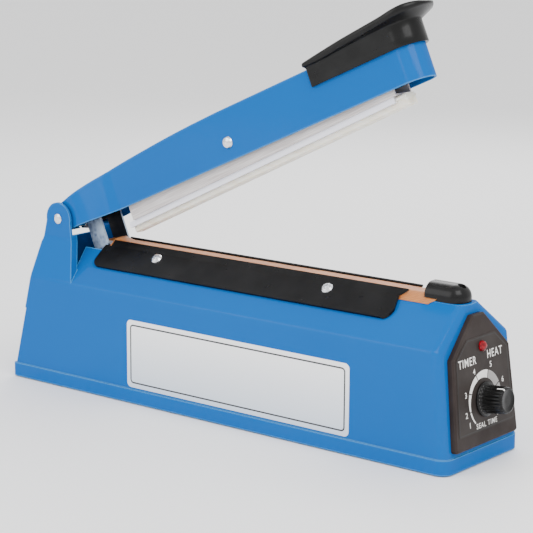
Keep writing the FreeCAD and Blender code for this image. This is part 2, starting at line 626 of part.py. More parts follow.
def build_hinge():
    half = size.ear_half
    pin = lathe([(0, -1.6), (2.6, -1.6), (4.1, -0.6), (4.1, 0), ("pin_r", 0), ("pin_r", "2 * ear_half + 2.6"),
                 ("pin_r - 0.5", "2 * ear_half + 3"), (0, "2 * ear_half + 3")])
    sub_part("hinge_pin", pin, at_housing(size.hinge_x, -half - 0.05, size.hinge_z, ACROSS))
    ring = lathe([("pin_r", 0), ("5.2", 0), ("5.2", 1), ("pin_r", 1)])
    sub_part("retaining_ring", ring, at_housing(size.hinge_x, half + 0.1, size.hinge_z, ACROSS))
    washer = lathe([("pin_r + pin_fit", 0), ("6.5", 0), ("6.5", 1.4), ("pin_r + pin_fit", 1.4)])
    washers = [copy_of(washer, Placement(Vector(0, y, 0), ACROSS)) for y in (-half + size.wall + 0.1,
                                                                             half - size.wall - 1.5)]
    sub_part("hinge_washers", group(*washers), at_housing(size.hinge_x, 0, size.hinge_z))


# the hinge end's radius about the pin, and the height of the arm's top along it
ARM_CROWN = 10.9
ARM_TOP_LINE = ((2, 11), (20, 15), (40, 19.2), (82, 23.5), (130, 26.3), (180, 27.6))


def arm_solid(inset):
    """The arm's outer form, or its hollow when inset is the sheet's thickness."""
    flare_end, flare_start = 58, 14
    wide = size.hinge_half - inset
    slim = size.arm_half - inset
    nose = size.nose_x
    steps = 8
    flare = []
    for i in range(steps + 1):
        t = i / steps
        blend = t * t * (3 - 2 * t)
        flare.append(Vector(flare_start + (flare_end - flare_start) * t, -(wide + (slim - wide) * blend), 0))
    curve = Part.BSplineCurve()
    curve.interpolate(Points=flare, InitialTangent=X_AXIS, FinalTangent=X_AXIS)
    rear = -ARM_CROWN + inset
    mirror_y = Placement(Vector(), Rotation(X_AXIS, 180))
    near_edges = [Part.makeLine(Vector(rear, -wide, 0), flare[0]), curve.toShape(),
                  Part.makeLine(flare[-1], Vector(nose, -slim, 0))]
    far_edges = [e.copy() for e in near_edges]
    for edge in far_edges:
        edge.Placement = mirror_y
    bow = Part.Arc(Vector(nose, -slim, 0), Vector(nose + slim, 0, 0), Vector(nose, slim, 0)).toShape()
    back = Part.makeLine(Vector(rear, -wide, 0), Vector(rear, wide, 0))
    wire = Part.Wire(Part.__sortEdges__(near_edges + [bow] + far_edges + [back]))
    tall = Part.Face(wire).extrude(Vector(0, 0, 80))
    tall.translate(Vector(0, 0, -40))
    low = -size.arm_drop - (5 if inset else 0)
    high = size.arm_top - inset
    crown = ARM_CROWN - inset
    reach = nose + slim + 2
    top_line = Part.BSplineCurve()
    top_line.interpolate(Points=[Vector(x, 0, z - inset) for x, z in ARM_TOP_LINE])
    side = [Part.Arc(Vector(0, 0, -crown), Vector(-crown, 0, 0),
                     Vector(-crown * 0.5, 0, crown * 0.866)).toShape(),
            Part.makeLine(Vector(-crown * 0.5, 0, crown * 0.866), top_line.StartPoint),
            top_line.toShape(),
            Part.makeLine(top_line.EndPoint, Vector(reach, 0, high)),
            Part.makeLine(Vector(reach, 0, high), Vector(reach, 0, low)),
            Part.makeLine(Vector(reach, 0, low), Vector(6, 0, low)),
            Part.makeLine(Vector(6, 0, low), Vector(0, 0, -crown))]
    plate = Part.Face(Part.Wire(side)).extrude(Vector(0, 2 * wide + 20, 0))
    plate.translate(Vector(0, -wide - 10, 0))
    return tall.common(plate)


def build_arm_shell():
    """A folded channel, open below, that widens at the hinge and closes in a round nose."""
    outer = arm_solid(0)
    hollow = arm_solid(size.arm_wall)
    shell = outer.cut(hollow)
    across = Vector(0, -60, 0)
    shell = shell.cut(Part.makeCylinder(size.pin_r + size.pin_fit, 120, across, Y_AXIS))
    pivot = Vector(size.bar_along, -60, size.bar_up)
    shell = shell.cut(Part.makeCylinder(size.pivot_r + size.pin_fit, 120, pivot, Y_AXIS))
    shell = shell.cut(Part.makeBox(15, 22.2, 14, Vector(-7, -11.1, -20)))
    for x in HANDLE_SCREWS:
        shell = shell.cut(Part.makeCylinder(1.6, 10, Vector(x, 0, size.arm_top - 5)))
    feature = doc.addObject("Part::Feature", "ArmShell")
    feature.Shape = shell
    sub_part("arm_shell", feature, at_arm())


HANDLE_SCREWS = (300, 345)


def stadium(rear, nose, half, low, high, rear_half=None):
    """A block with a round nose, square at the rear, where it may be narrower."""
    rear_half = rear_half or half
    points = [Vector(rear, -rear_half, low), Vector(nose, -half, low), Vector(nose + half, 0, low),
              Vector(nose, half, low), Vector(rear, rear_half, low)]
    wire = Part.Wire([Part.makeLine(points[0], points[1]), Part.Arc(*points[1:4]).toShape(),
                      Part.makeLine(points[3], points[4]), Part.makeLine(points[4], points[0])])
    return Part.Face(wire).extrude(Vector(0, 0, high - low))


# the thumb ledge's underside and top along the arm
LEDGE_LOW = ((272, 29.2), (292, 29.2), (312, 30.4), (339, 32.2), (357, 33.4), (368, 34.6), (385, 36.8))
LEDGE_TOP = ((272, 32.8), (289, 34.8), (314, 37.4), (335, 39), (355, 40.6), (370, 42.4), (385, 39))


def between_lines(low_points, top_points):
    """A wide slab between two curves drawn along the arm."""
    low_line, top_line = Part.BSplineCurve(), Part.BSplineCurve()
    low_line.interpolate(Points=[Vector(x, -40, z) for x, z in low_points])
    top_line.interpolate(Points=[Vector(x, -40, z) for x, z in top_points])
    ends = [Part.makeLine(low_line.EndPoint, top_line.EndPoint),
            Part.makeLine(top_line.StartPoint, low_line.StartPoint)]
    side = Part.Wire([low_line.toShape(), ends[0], top_line.toShape(), ends[1]])
    return Part.Face(side).extrude(Vector(0, 80, 0))


def build_handle():
    """A moulded cap on the arm's front, with a thumb ledge all round its top."""
    skirt = stadium(size.grip_rear, size.grip_x, size.grip_half, size.grip_low, 40)
    ledge = stadium(size.ledge_rear, size.ledge_x, size.ledge_half, 20, 60, size.ledge_rear_half)
    slab = between_lines(LEDGE_LOW, LEDGE_TOP)
    under_ledge = between_lines(((272, 0), (385, 0)), [(x, z + 1) for x, z in LEDGE_LOW])
    solid = skirt.common(under_ledge).fuse(ledge.common(slab))
    arm_room = stadium(size.grip_rear - 20, size.nose_x, size.arm_half + 0.1, 0, size.arm_top + 0.1)
    solid = solid.cut(arm_room)
    for x in HANDLE_SCREWS:
        solid = solid.cut(Part.makeCylinder(1.5, 4, Vector(x, 0, size.arm_top)))
    feature = doc.addObject("Part::Feature", "Handle")
    feature.Shape = solid.removeSplitter()
    sub_part("arm_handle", feature, at_arm())
    screw = lathe([(0, 0), (3.2, 0), (3.2, 1.8), (1.48, 1.8), (1.48, 5.5), (0, 5.5)])
    screws = [copy_of(screw, Placement(Vector(x, 0, 0), Rotation())) for x in HANDLE_SCREWS]
    sub_part("handle_screws", group(*screws), at_arm(0, 0, size.arm_top - size.arm_wall - 1.9))


def build_bracket():
    """The galvanised strap under the arm, open at the top, that carries the switch striker."""
    flange = [("bracket_rear", "-bracket_low"), ("bracket_rear + 9", "-bracket_low"),
              ("bracket_front", "-bracket_low + 8"), ("bracket_front", 14.4), ("bracket_rear", 11.2),
              (-6, 6), (-7, 0), (-6, -7), ("bracket_rear", -9.5)]
    wide = prism("XZ_Plane", flange, "2 * bracket_half")
    gap_between = box("bracket_rear - 30", "-bracket_half + bracket_wall", "-bracket_low + bracket_wall",
                      "bracket_front + 30", "2 * (bracket_half - bracket_wall)", "70")
    striker_hole = rod("1.95", "6",
                       Placement(Vector(size.bracket_rear + 4.5, 0, -size.bracket_low - 2), Rotation()))
    pin_hole = rod("pin_r + pin_fit", "60", Placement(Vector(0, -30, 0), ACROSS))
    sub_part("arm_bracket", cut(wide, gap_between, striker_hole, pin_hole), at_arm())
    striker = lathe([(0, -4.4), (1.6, -4.4), (3, -3.2), (3, 0), (1.9, 0), (1.9, 7), (0, 7)])
    sub_part("striker_screw", striker, at_arm(size.bracket_rear + 4.5, 0, -size.bracket_low - 0.05))
    hexagon = prism("XY_Plane", [(3.6 * math.cos(math.radians(60 * i)), 3.6 * math.sin(math.radians(60 * i)))
                                 for i in range(6)], "2.6", both_ways=False)
    nut = cut(hexagon, rod("1.92", "6", Placement(Vector(0, 0, -1), Rotation())))
    sub_part("striker_nut", nut,
             at_arm(size.bracket_rear + 4.5, 0, -size.bracket_low + size.bracket_wall + 0.05))


def bent_wire(points, radius):
    """Round wire along straight runs, with a ball at each bend."""
    solid = Part.makeSphere(radius, points[0])
    for start, end in zip(points, points[1:]):
        run = end - start
        solid = solid.fuse(Part.makeCylinder(radius, run.Length, start, run))
        solid = solid.fuse(Part.makeSphere(radius, end))
    return solid


def build_spring():
    """A double torsion spring round the hinge pin; its two legs stand out below the arm."""
    wire, coil, turns = 1.1, 5.6, 4
    pitch = 2 * wire + 0.1
    solids = []
    for y in (-10.9 + wire, 0.7 + wire):
        helix = Part.Wire(Part.makeHelix(pitch, pitch * (turns - 0.5), coil))
        section = Part.Wire(Part.makeCircle(wire, Vector(coil, 0, 0), Y_AXIS))
        winding = helix.makePipeShell([section], True, True)
        winding.Placement = Placement(Vector(0, y, 0), ACROSS)
        solids.append(winding)
    for y, drop in ((-10.9 + wire, 0), (0.7 + wire, 4.5)):
        leg = [Vector(coil, y, -2 * wire), Vector(9, y, -12.5 - drop), Vector(2.5, y, -10.5 - drop)]
        solids.append(bent_wire(leg, wire))
    feature = doc.addObject("Part::Feature", "Spring")
    feature.Shape = Part.makeCompound(solids)
    sub_part("return_spring", feature, at_arm())


def build_pivot():
    half = size.arm_half
    screw = lathe([(0, -2.6), (1.6, -2.5), (3.8, -1.6), (4.7, -0.4), (4.7, 0), ("pivot_r", 0),
                   ("pivot_r", "2 * arm_half + 5"), (0, "2 * arm_half + 5")])
    sub_part("rocker_screw", screw, at_arm(size.bar_along, -half - 0.05, size.bar_up, ACROSS))
    hexagon = prism("XY_Plane", [(4 * math.cos(math.radians(60 * i)), 4 * math.sin(math.radians(60 * i)))
                                 for i in range(6)], "3.2", both_ways=False)
    nut = cut(hexagon, rod("pivot_r + 0.02", "6", Placement(Vector(0, 0, -1), Rotation())))
    sub_part("rocker_nut", nut, at_arm(size.bar_along, half + 0.1, size.bar_up, ACROSS))
    spacer = lathe([("pivot_r + pin_fit", 0), (3.6, 0), (3.6, "arm_half - arm_wall - carrier_half - 0.4"),
                    ("pivot_r + pin_fit", "arm_half - arm_wall - carrier_half - 0.4")])
    spacers = [copy_of(spacer, Placement(Vector(0, y, 0), ACROSS))
               for y in (-half + size.arm_wall + 0.1, size.carrier_half + 0.3)]
    sub_part("rocker_spacers", group(*spacers), at_arm(size.bar_along, 0, size.bar_up))


BAR_RIVETS = (-105, -35, 35, 105, 140)


def build_bar():
    """The rocking bar: a steel channel, an aluminium profile and a silicone strip."""
    channel = prism("XZ_Plane", [
        ("-carrier_rear", "-carrier_low"), ("carrier_front", "-carrier_low"), ("carrier_front",
                                                                               "-carrier_low + 15"),
        (30, "-carrier_low + 15"), (12, "carrier_high"), (-12, "carrier_high"), (-30, "-carrier_low + 15"),
        ("-carrier_rear", "-carrier_low + 15"),
    ], "2 * carrier_half")
    inside = box("-carrier_rear - 5", "-carrier_half + carrier_wall", "-carrier_low + carrier_wall",
                 "carrier_rear + carrier_front + 10", "2 * (carrier_half - carrier_wall)", "60")
    pivot_hole = rod("pivot_r + pin_fit", "60", Placement(Vector(0, -30, 0), ACROSS))
    rivet_holes = [rod("1.55", "4",
                       Placement(Vector(x, 0, -size.carrier_low - 1), Rotation())) for x in BAR_RIVETS]
    sub_part("bar_carrier", cut(channel, inside, pivot_hole, *rivet_holes), at_bar())
    profile = prism("YZ_Plane", [
        ("-profile_half", "-profile_low"), ("-strip_half - 0.4", "-profile_low"),
        ("-strip_half - 0.4", "-profile_low + 1"), ("-strip_half - 1.6", "-profile_low + 1"),
        ("-strip_half - 1.6", "-profile_low + 3"), ("strip_half + 1.6", "-profile_low + 3"),
        ("strip_half + 1.6", "-profile_low + 1"), ("strip_half + 0.4", "-profile_low + 1"),
        ("strip_half + 0.4", "-profile_low"), ("profile_half", "-profile_low"),
        ("profile_half", "-carrier_low - 0.02"), ("-profile_half", "-carrier_low - 0.02"),
    ], "profile_rear + profile_front")
    sub_part("bar_profile", profile, at_bar((size.profile_front - size.profile_rear) / 2))
    strip = prism("YZ_Plane", [
        ("-strip_half + 1", "-strip_low"), ("strip_half - 1", "-strip_low"), ("strip_half", "-strip_low + 1"),
        ("strip_half", "-profile_low + 1.2"), ("strip_half + 1.4", "-profile_low + 1.2"),
        ("strip_half + 1.4", "-profile_low + 2.8"), ("-strip_half - 1.4", "-profile_low + 2.8"),
        ("-strip_half - 1.4", "-profile_low + 1.2"), ("-strip_half", "-profile_low + 1.2"),
        ("-strip_half", "-strip_low + 1"),
    ], "strip_rear + strip_front")
    strip = copy_of(strip, Placement(Vector((size.strip_front - size.strip_rear) / 2, 0, 0), Rotation()))
    # past the profile's end the strip stands up to the channel
    strip_end = box("profile_front + 0.15", "-strip_half + 0.2", "-strip_low + 0.1",
                    "strip_front - profile_front - 0.15", "2 * strip_half - 0.4",
                    "strip_low - silicone_end_low - 0.1")
    sub_part("silicone_strip", fuse(strip, strip_end), at_bar())
    rivet = lathe([(0, 0), (1.5, 0), (1.5, "carrier_wall"), (2.4, "carrier_wall"),
                   (2.4, "carrier_wall + 0.5"),
                   (1.6, "carrier_wall + 0.9"), (0, "carrier_wall + 1")])
    rivets = [copy_of(rivet, Placement(Vector(x, 0, 0), Rotation())) for x in BAR_RIVETS]
    sub_part("bar_rivets", group(*rivets), at_bar(0, 0, -size.carrier_low + 0.02))


# ---------------------------------------------------------------- electrical parts

def build_transformer():
    floor = size.plate_bottom + size.plate_thick
    core = box("core_x - core_length / 2", "-core_width / 2", floor + 0.05, "core_length", "core_width",
               "core_high")
    windows = [box("core_x - core_length / 2 + %g" % x, "-core_width / 2 - 1", floor + 11, "11",
                   "core_width + 2",
                   "core_high - 22") for x in (11, 44)]
    sub_part("transformer_core", cut(core, *windows), at_housing())
    coil = box("core_x - 21.8", "-core_width / 2 - 12", floor + 11.3, "43.6", "core_width + 24",
               "core_high - 22.6")
    coil = rounded(coil, (7, along_z))
    leg = box("core_x - 11.2", "-core_width / 2 - 0.1", floor, "22.4", "core_width + 0.2", "core_high")
    sub_part("transformer_coil", cut(coil, leg), at_housing())
    feet = [box("core_x %s" % x, "-10", floor, "16", "20", "1.5") for x in ("- core_length / 2 - 16",
                                                                            "+ core_length / 2")]
    legs = [box("core_x %s" % x, "-10", floor, "1.5", "20", "core_high + 1.8")
            for x in ("- core_length / 2 - 1.6", "+ core_length / 2 + 0.1")]
    bridge = box("core_x - core_length / 2 - 1.6", "-10", "core_high + %g" % (floor + 0.1),
                 "core_length + 3.2", "20", "1.5")
    foot_holes = [rod("1.8", "8",
                      Placement(Vector(size.core_x + i * (size.core_length / 2 + 9), 0, 0), Rotation()))
                  for i in (-1, 1)]
    sub_part("transformer_strap", cut(fuse(bridge, *feet, *legs), *foot_holes), at_housing())
    screw = lathe([(0, 0), (3, 0), (3, 2), (0, 2)])
    screws = [copy_of(screw,
                      Placement(Vector(size.core_x + i * (size.core_length / 2 + 9), 0, floor + 1.55),
                                Rotation()))
              for i in (-1, 1)]
    sub_part("transformer_screws", group(*screws), at_housing())


def build_board():
    floor = size.plate_bottom + size.plate_thick
    x, half_x, half_y, top = size.board_x, size.board_length / 2, size.board_width / 2, size.board_z + 1.6
    board = box("board_x - board_length / 2", "-board_width / 2", "board_z", "board_length", "board_width",
                "1.6")
    sub_part("timer_board", board, at_housing())
    stand = lathe([(0, floor + 0.02), (2.8, floor + 0.02), (2.8, "board_z - 0.02"), (0, "board_z - 0.02")])
    stands = [copy_of(stand, Placement(Vector(x + i * (half_x - 4), j * (half_y - 4), 0), Rotation()))
              for i in (-1, 1) for j in (-1, 1)]
    sub_part("board_standoffs", group(*stands), at_housing())
    relay = box("board_x - 22", "-20", top + 0.02, "19", "15.5", "15")
    sub_part("timer_relay", relay, at_housing())
    can = rod("5", "16", Placement(Vector(x + 12, -12, top + 0.02), Rotation()))
    small_can = rod("3.2", "11", Placement(Vector(x + 2, 14, top + 0.02), Rotation()))
    sub_part("board_capacitors", group(can, small_can), at_housing())
    sink = box("board_x - 24", "20", top + 0.02, "18", "3", "22")
    sub_part("triac_heat_sink", sink, at_housing())


def build_switch():
    x = size.switch_x
    low = "switch_top - switch_high"
    case = box("switch_x - 10", "-5.1", low, "switch_length", "10.2", "switch_high")
    plunger_bore = rod("1.6", "6", Placement(Vector(x - 1.5, 0, size.switch_top - 4), Rotation()))
    screw_bores = [rod("1.6", "20",
                       Placement(Vector(x + dx, -8, size.switch_top - 12.5), ACROSS)) for dx in (-6, 14)]
    sub_part("micro_switch", cut(case, plunger_bore, *screw_bores), at_housing())
    plunger = lathe([(0, 0), (1.55, 0), (1.55, 4.8), (1.1, 5.3), (0, 5.3)])
    sub_part("switch_plunger", plunger, at_housing(x - 1.5, 0, size.switch_top - 2.6))
    floor = size.plate_bottom + size.plate_thick
    upright = box("switch_x - 12", "5.2", floor, "switch_length + 4", "1.5", "switch_top - %g" % (floor + 3))
    foot = box("switch_x - 12", "5.2", floor, "switch_length + 4", "18", "1.5")
    bores = [rod("1.6", "8", Placement(Vector(x + dx, 3, size.switch_top - 12.5), ACROSS)) for dx in (-6, 14)]
    sub_part("switch_bracket", cut(fuse(upright, foot), *bores), at_housing())
    screw = lathe([(0, -1.8), (2.6, -1.8), (2.6, 0), (1.45, 0), (1.45, 14), (0, 14)])
    screws = [copy_of(screw, Placement(Vector(x + dx, -5.15, size.switch_top - 12.5), ACROSS)) for dx in (-6,
                                                                                                          14)]
    sub_part("switch_screws", group(*screws), at_housing())


def build_label():
    """The blank rating plate on the front wall."""
    lean = math.degrees(math.atan2(size.low_half - size.crease_half, size.crease_top))
    plate = rounded(box(-86, 13.5, 0, 217, 54, "0.3"), (4, along_z))
    wall_foot = at_housing(0, -size.low_half - 0.03, 0)
    sub_part("rating_label", plate, Placement(wall_foot.Base, Rotation(X_AXIS, 90 - lean)))


def finish():
    doc.recompute()
    for thing in doc.Objects:
        if "Invalid" in thing.State or "Error" in thing.State:
            raise RuntimeError("%s (%s) failed to build: %s" % (thing.Name, thing.Label, thing.State))
    os.makedirs("parts", exist_ok=True)
    for name, thing in nodes.items():
        shape = Part.getShape(thing)
        if shape.isNull() or not shape.isValid() or not shape.Solids:
            raise RuntimeError(name + " has no valid solid")
        shape.exportStep("parts/%s.step" % name)
        print("%-22s %2d solids %10.1f mm3" % (name, len(shape.Solids), shape.Volume))


build_housing()
build_base()
build_rear_inlet()
build_panel()
build_timer()
build_sealing_bar()
build_clamps()
build_end_cap()
build_hinge()
build_arm_shell()
build_handle()
build_bracket()
build_spring()
build_pivot()
build_bar()
build_transformer()
build_board()
build_switch()
build_label()
finish()
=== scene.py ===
"""A 300 mm hand impulse sealer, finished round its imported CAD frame.

Metres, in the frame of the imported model: +X to the control panel, +Y to the back, +Z up.
"""
import json
import math
import bmesh
import bpy
from mathutils import Matrix, Vector


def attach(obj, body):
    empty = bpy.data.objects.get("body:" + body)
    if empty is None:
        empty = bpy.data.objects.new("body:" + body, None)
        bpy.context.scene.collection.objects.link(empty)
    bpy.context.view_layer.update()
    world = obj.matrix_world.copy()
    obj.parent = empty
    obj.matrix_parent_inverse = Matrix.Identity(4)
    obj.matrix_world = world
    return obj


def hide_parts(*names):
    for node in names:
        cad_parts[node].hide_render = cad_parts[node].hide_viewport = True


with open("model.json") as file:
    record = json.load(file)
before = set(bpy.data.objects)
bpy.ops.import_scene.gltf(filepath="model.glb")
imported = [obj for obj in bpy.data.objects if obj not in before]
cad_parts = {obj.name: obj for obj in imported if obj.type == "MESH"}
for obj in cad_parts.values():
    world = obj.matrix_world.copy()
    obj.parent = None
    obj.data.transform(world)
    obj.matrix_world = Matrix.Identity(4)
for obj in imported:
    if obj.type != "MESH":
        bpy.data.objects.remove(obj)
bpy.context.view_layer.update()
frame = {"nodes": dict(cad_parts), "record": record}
MM = 0.001
NODES = frame["nodes"]
SLOTS = {part["node"]: part["material_slot"] for part in frame["record"]["subparts"]}


# ---------------------------------------------------------------- procedural finishes

def paint(red, green, blue):
    """A display colour, 0 to 255 a channel, as the linear colour that shaders take."""
    def linear(value):
        share = value / 255
        return share / 12.92 if share <= 0.04045 else ((share + 0.055) / 1.055) ** 2.4
    return (linear(red), linear(green), linear(blue), 1.0)


class Finish:
    """One procedural material: a principled shader and the nodes that feed it."""

    def __init__(self, name, color, roughness, metallic=0.0, **sockets):
        self.material = bpy.data.materials.new(name)
        self.material.use_nodes = True
        self.nodes = self.material.node_tree.nodes
        self.shader = self.nodes["Principled BSDF"]
        self.place = self.nodes.new("ShaderNodeTexCoord").outputs["Object"]
        self.last_normal = None
        self.set("Base Color", color)
        self.set("Roughness", roughness)
        self.set("Metallic", metallic)
        for socket, value in sockets.items():
            self.set(socket.replace("_", " "), value)

    def set(self, socket, value):
        self.feed(self.shader.inputs[socket], value)

    def feed(self, socket, value):
        if isinstance(value, bpy.types.NodeSocket):
            self.material.node_tree.links.new(value, socket)
        else:
            socket.default_value = value

    def math(self, operation, first, second=0.0, third=0.0):
        node = self.nodes.new("ShaderNodeMath")
        node.operation = operation
        for socket, value in zip(node.inputs, (first, second, third)):
            self.feed(socket, value)
        return node.outputs["Value"]

    def stretched(self, scale, turn=(0.0, 0.0, 0.0)):
        """Object coordinates, turned and then scaled along each axis."""
        turned = self.nodes.new("ShaderNodeMapping")
        self.feed(turned.inputs["Vector"], self.place)
        turned.inputs["Rotation"].default_value = turn
        scaled = self.nodes.new("ShaderNodeMapping")
        self.feed(scaled.inputs["Vector"], turned.outputs["Vector"])
        scaled.inputs["Scale"].default_value = scale
        return scaled.outputs["Vector"]

    def noise(self, scale, detail=3.0, roughness=0.55, place=None):
        node = self.nodes.new("ShaderNodeTexNoise")
        self.feed(node.inputs["Vector"], place or self.place)
        node.inputs["Scale"].default_value = scale
        node.inputs["Detail"].default_value = detail
        node.inputs["Roughness"].default_value = roughness
        return node.outputs["Fac"]

    def cells(self, scale, place=None, feature="F1"):
        node = self.nodes.new("ShaderNodeTexVoronoi")
        node.feature = feature
        self.feed(node.inputs["Vector"], place or self.place)
        node.inputs["Scale"].default_value = scale
        return node.outputs["Distance"]

    def waves(self, scale, axis, place=None, distortion=0.0):
        node = self.nodes.new("ShaderNodeTexWave")
        node.bands_direction = axis
        self.feed(node.inputs["Vector"], place or self.place)
        node.inputs["Scale"].default_value = scale
        node.inputs["Distortion"].default_value = distortion
        return node.outputs["Fac"]

    def spread(self, value, low, high, from_low=0.0, from_high=1.0):
        """Maps a value from one range to another, and stops at the ends."""
        node = self.nodes.new("ShaderNodeMapRange")
        for socket, number in zip(node.inputs, (value, from_low, from_high, low, high)):
            self.feed(socket, number)
        return node.outputs["Result"]

    def blended(self, share, first, second, how="MIX"):
        node = self.nodes.new("ShaderNodeMix")
        node.data_type = "RGBA"
        node.blend_type = how
        self.feed(node.inputs["Factor"], share)
        self.feed(node.inputs[6], first)
        self.feed(node.inputs[7], second)
        return node.outputs[2]

    def bump(self, height, depth, strength=1.0):
        """Adds relief whose full height is depth metres."""
        node = self.nodes.new("ShaderNodeBump")
        node.inputs["Strength"].default_value = strength
        node.inputs["Distance"].default_value = depth
        self.feed(node.inputs["Height"], height)
        if self.last_normal:
            self.feed(node.inputs["Normal"], self.last_normal)
        self.last_normal = node.outputs["Normal"]
        self.set("Normal", self.last_normal)

    def sharp_edges(self, radius):
        """1 near a sharp edge, 0 on flat ground."""
        bevel = self.nodes.new("ShaderNodeBevel")
        bevel.inputs["Radius"].default_value = radius
        ground = self.nodes.new("ShaderNodeNewGeometry")
        product = self.nodes.new("ShaderNodeVectorMath")
        product.operation = "DOT_PRODUCT"
        self.feed(product.inputs[0], bevel.outputs["Normal"])
        self.feed(product.inputs[1], ground.outputs["Normal"])
        return self.spread(product.outputs["Value"], 1.0, 0.0, 0.90, 0.995)

    def worn_edges(self, radius):
        """1 near a sharp edge, 0 on flat ground, broken up by noise."""
        return self.math("MULTIPLY", self.sharp_edges(radius),
                         self.spread(self.noise(260, 4), 0.0, 1.0, 0.42, 0.62))


def gloss_enamel(name, color, deep):
    """Sprayed gloss enamel: fine orange peel, faint handling haze, and a painted pale-blue highlight along
    sharp edges.
    """
    finish = Finish(name, color, 0.3, Coat_Weight=0.2, Coat_Roughness=0.08, Specular_IOR_Level=0.0)
    drift = finish.spread(finish.noise(9, 2), 0.0, 0.35, 0.3, 0.7)
    shade = finish.blended(drift, color, deep)
    # painted highlight: sharp edges are lightened towards pale blue
    edge = finish.math("MULTIPLY", finish.sharp_edges(0.0016), 0.4)
    finish.set("Base Color", finish.blended(edge, shade, paint(110, 186, 226)))
    finish.set("Roughness", finish.spread(finish.noise(38, 4), 0.26, 0.34, 0.3, 0.7))
    finish.bump(finish.noise(420, 2), 0.00001, 0.35)
    return finish.material


def moulded(name, color, roughness, grain=900, depth=0.00002, **sockets):
    """Moulded plastic with a fine spark-eroded grain and lighter rubbed edges."""
    finish = Finish(name, color, roughness, **sockets)
    lighter = tuple(min(1.0, part * 1.8 + 0.012) for part in color[:3]) + (1.0,)
    drift = finish.spread(finish.noise(45, 4), 0.0, 0.4, 0.35, 0.75)
    rubbed = finish.math("MAXIMUM", drift, finish.math("MULTIPLY", finish.worn_edges(0.0005), 0.7))
    finish.set("Base Color", finish.blended(rubbed, color, lighter))
    finish.set("Roughness", finish.spread(finish.noise(70, 5), roughness * 0.85, roughness * 1.2, 0.3, 0.7))
    finish.bump(finish.cells(grain), depth, 0.5)
    finish.bump(finish.noise(140, 3), 0.00004, 0.3)
    return finish.material


def plated(name, color, roughness, brush=None):
    """Plated or drawn steel, with fine scratches along brush where it is given."""
    finish = Finish(name, color, roughness, metallic=1.0)
    mottle = finish.noise(110, 4)
    dull = tuple(part * 0.72 for part in color[:3]) + (1.0,)
    finish.set("Base Color", finish.blended(finish.spread(mottle, 0.0, 0.7, 0.35, 0.7), color, dull))
    finish.set("Roughness", finish.spread(finish.noise(200, 3), roughness * 0.8, roughness * 1.35, 0.3, 0.7))
    lines = finish.noise(1.0, 2, place=finish.stretched(brush)) if brush else finish.noise(900, 2)
    finish.bump(lines, 0.00002, 0.4)
    return finish.material


def galvanised(name):
    """Hot-dipped sheet: blue-grey spangle in soft patches."""
    finish = Finish(name, paint(150, 172, 196), 0.34, metallic=0.85)
    spangle = finish.spread(finish.cells(330), 0.0, 1.0, 0.1, 0.7)
    tone = finish.blended(spangle, paint(150, 168, 188), paint(176, 192, 208))
    soot = finish.spread(finish.noise(60, 4), 0.0, 0.3, 0.5, 0.75)
    sheet = finish.blended(soot, tone, paint(120, 134, 150))
    # painted shade: the far side's inner face, which lies in shade inside the arm, is made near-black and not
    # metallic
    split = finish.nodes.new("ShaderNodeSeparateXYZ")
    finish.feed(split.inputs["Vector"], finish.place)
    facing = finish.nodes.new("ShaderNodeSeparateXYZ")
    finish.feed(facing.inputs["Vector"], finish.nodes.new("ShaderNodeNewGeometry").outputs["True Normal"])
    shaded_far_side = finish.math("GREATER_THAN", split.outputs["Y"], 0.008)
    inner = finish.math("MULTIPLY", shaded_far_side, finish.math("LESS_THAN", facing.outputs["Y"], -0.5))
    finish.set("Base Color", finish.blended(inner, sheet, paint(14, 14, 15)))
    finish.set("Metallic", finish.math("SUBTRACT", 0.85, finish.math("MULTIPLY", inner, 0.85)))
    finish.set("Roughness", finish.spread(finish.cells(330), 0.28, 0.5, 0.1, 0.7))
    finish.bump(finish.noise(700, 3), 0.00002, 0.4)
    return finish.material


def glass_cloth(name):
    """Resin-coated glass cloth: a plain weave under a thin skin, lighter in soft clouds."""
    finish = Finish(name, paint(186, 122, 74), 0.42, Specular_IOR_Level=0.3)
    warp = finish.waves(260, "X")
    weft = finish.waves(260, "Y")
    weave = finish.math("MULTIPLY", warp, weft)
    tone = finish.blended(weave, paint(156, 88, 42), paint(196, 128, 72))
    cloud = finish.spread(finish.noise(60, 5), 0.0, 0.5, 0.35, 0.7)
    finish.set("Base Color", finish.blended(cloud, tone, paint(206, 146, 92)))
    finish.set("Roughness", finish.spread(weave, 0.48, 0.36))
    finish.bump(weave, 0.00006, 0.7)
    finish.bump(finish.noise(55, 3), 0.0002, 0.4)
    return finish.material


# turns the bar's length, which rises towards the panel, onto X
BAR_TURN = (0.0, math.radians(24.96), 0.0)


def grey_channel(name):
    """Grey-brown coated steel with mill lines along it and small dark specks."""
    finish = Finish(name, paint(200, 194, 192), 0.42, metallic=0.1)
    lines = finish.noise(1.0, 3, place=finish.stretched((30, 900, 900), BAR_TURN))
    tone = finish.blended(finish.spread(lines, 0.0, 1.0, 0.35, 0.65), paint(182, 174, 172),
                          paint(214, 209, 207))
    specks = finish.spread(finish.cells(240), 1.0, 0.0, 0.02, 0.09)
    finish.set("Base Color", finish.blended(finish.math("MULTIPLY", specks, 0.35), tone, paint(70, 62, 60)))
    finish.set("Roughness", finish.spread(lines, 0.34, 0.52, 0.35, 0.65))
    finish.bump(lines, 0.00003, 0.5)
    return finish.material


def anodised(name):
    """Satin anodised extrusion with die lines along its length."""
    finish = Finish(name, paint(238, 238, 246), 0.34, metallic=0.2)
    lines = finish.noise(1.0, 2, place=finish.stretched((12, 1400, 1400), BAR_TURN))
    finish.set("Base Color", finish.blended(lines, paint(226, 227, 240), paint(246, 246, 252)))
    finish.set("Roughness", finish.spread(lines, 0.28, 0.44, 0.35, 0.65))
    finish.bump(lines, 0.00002, 0.5)
    return finish.material


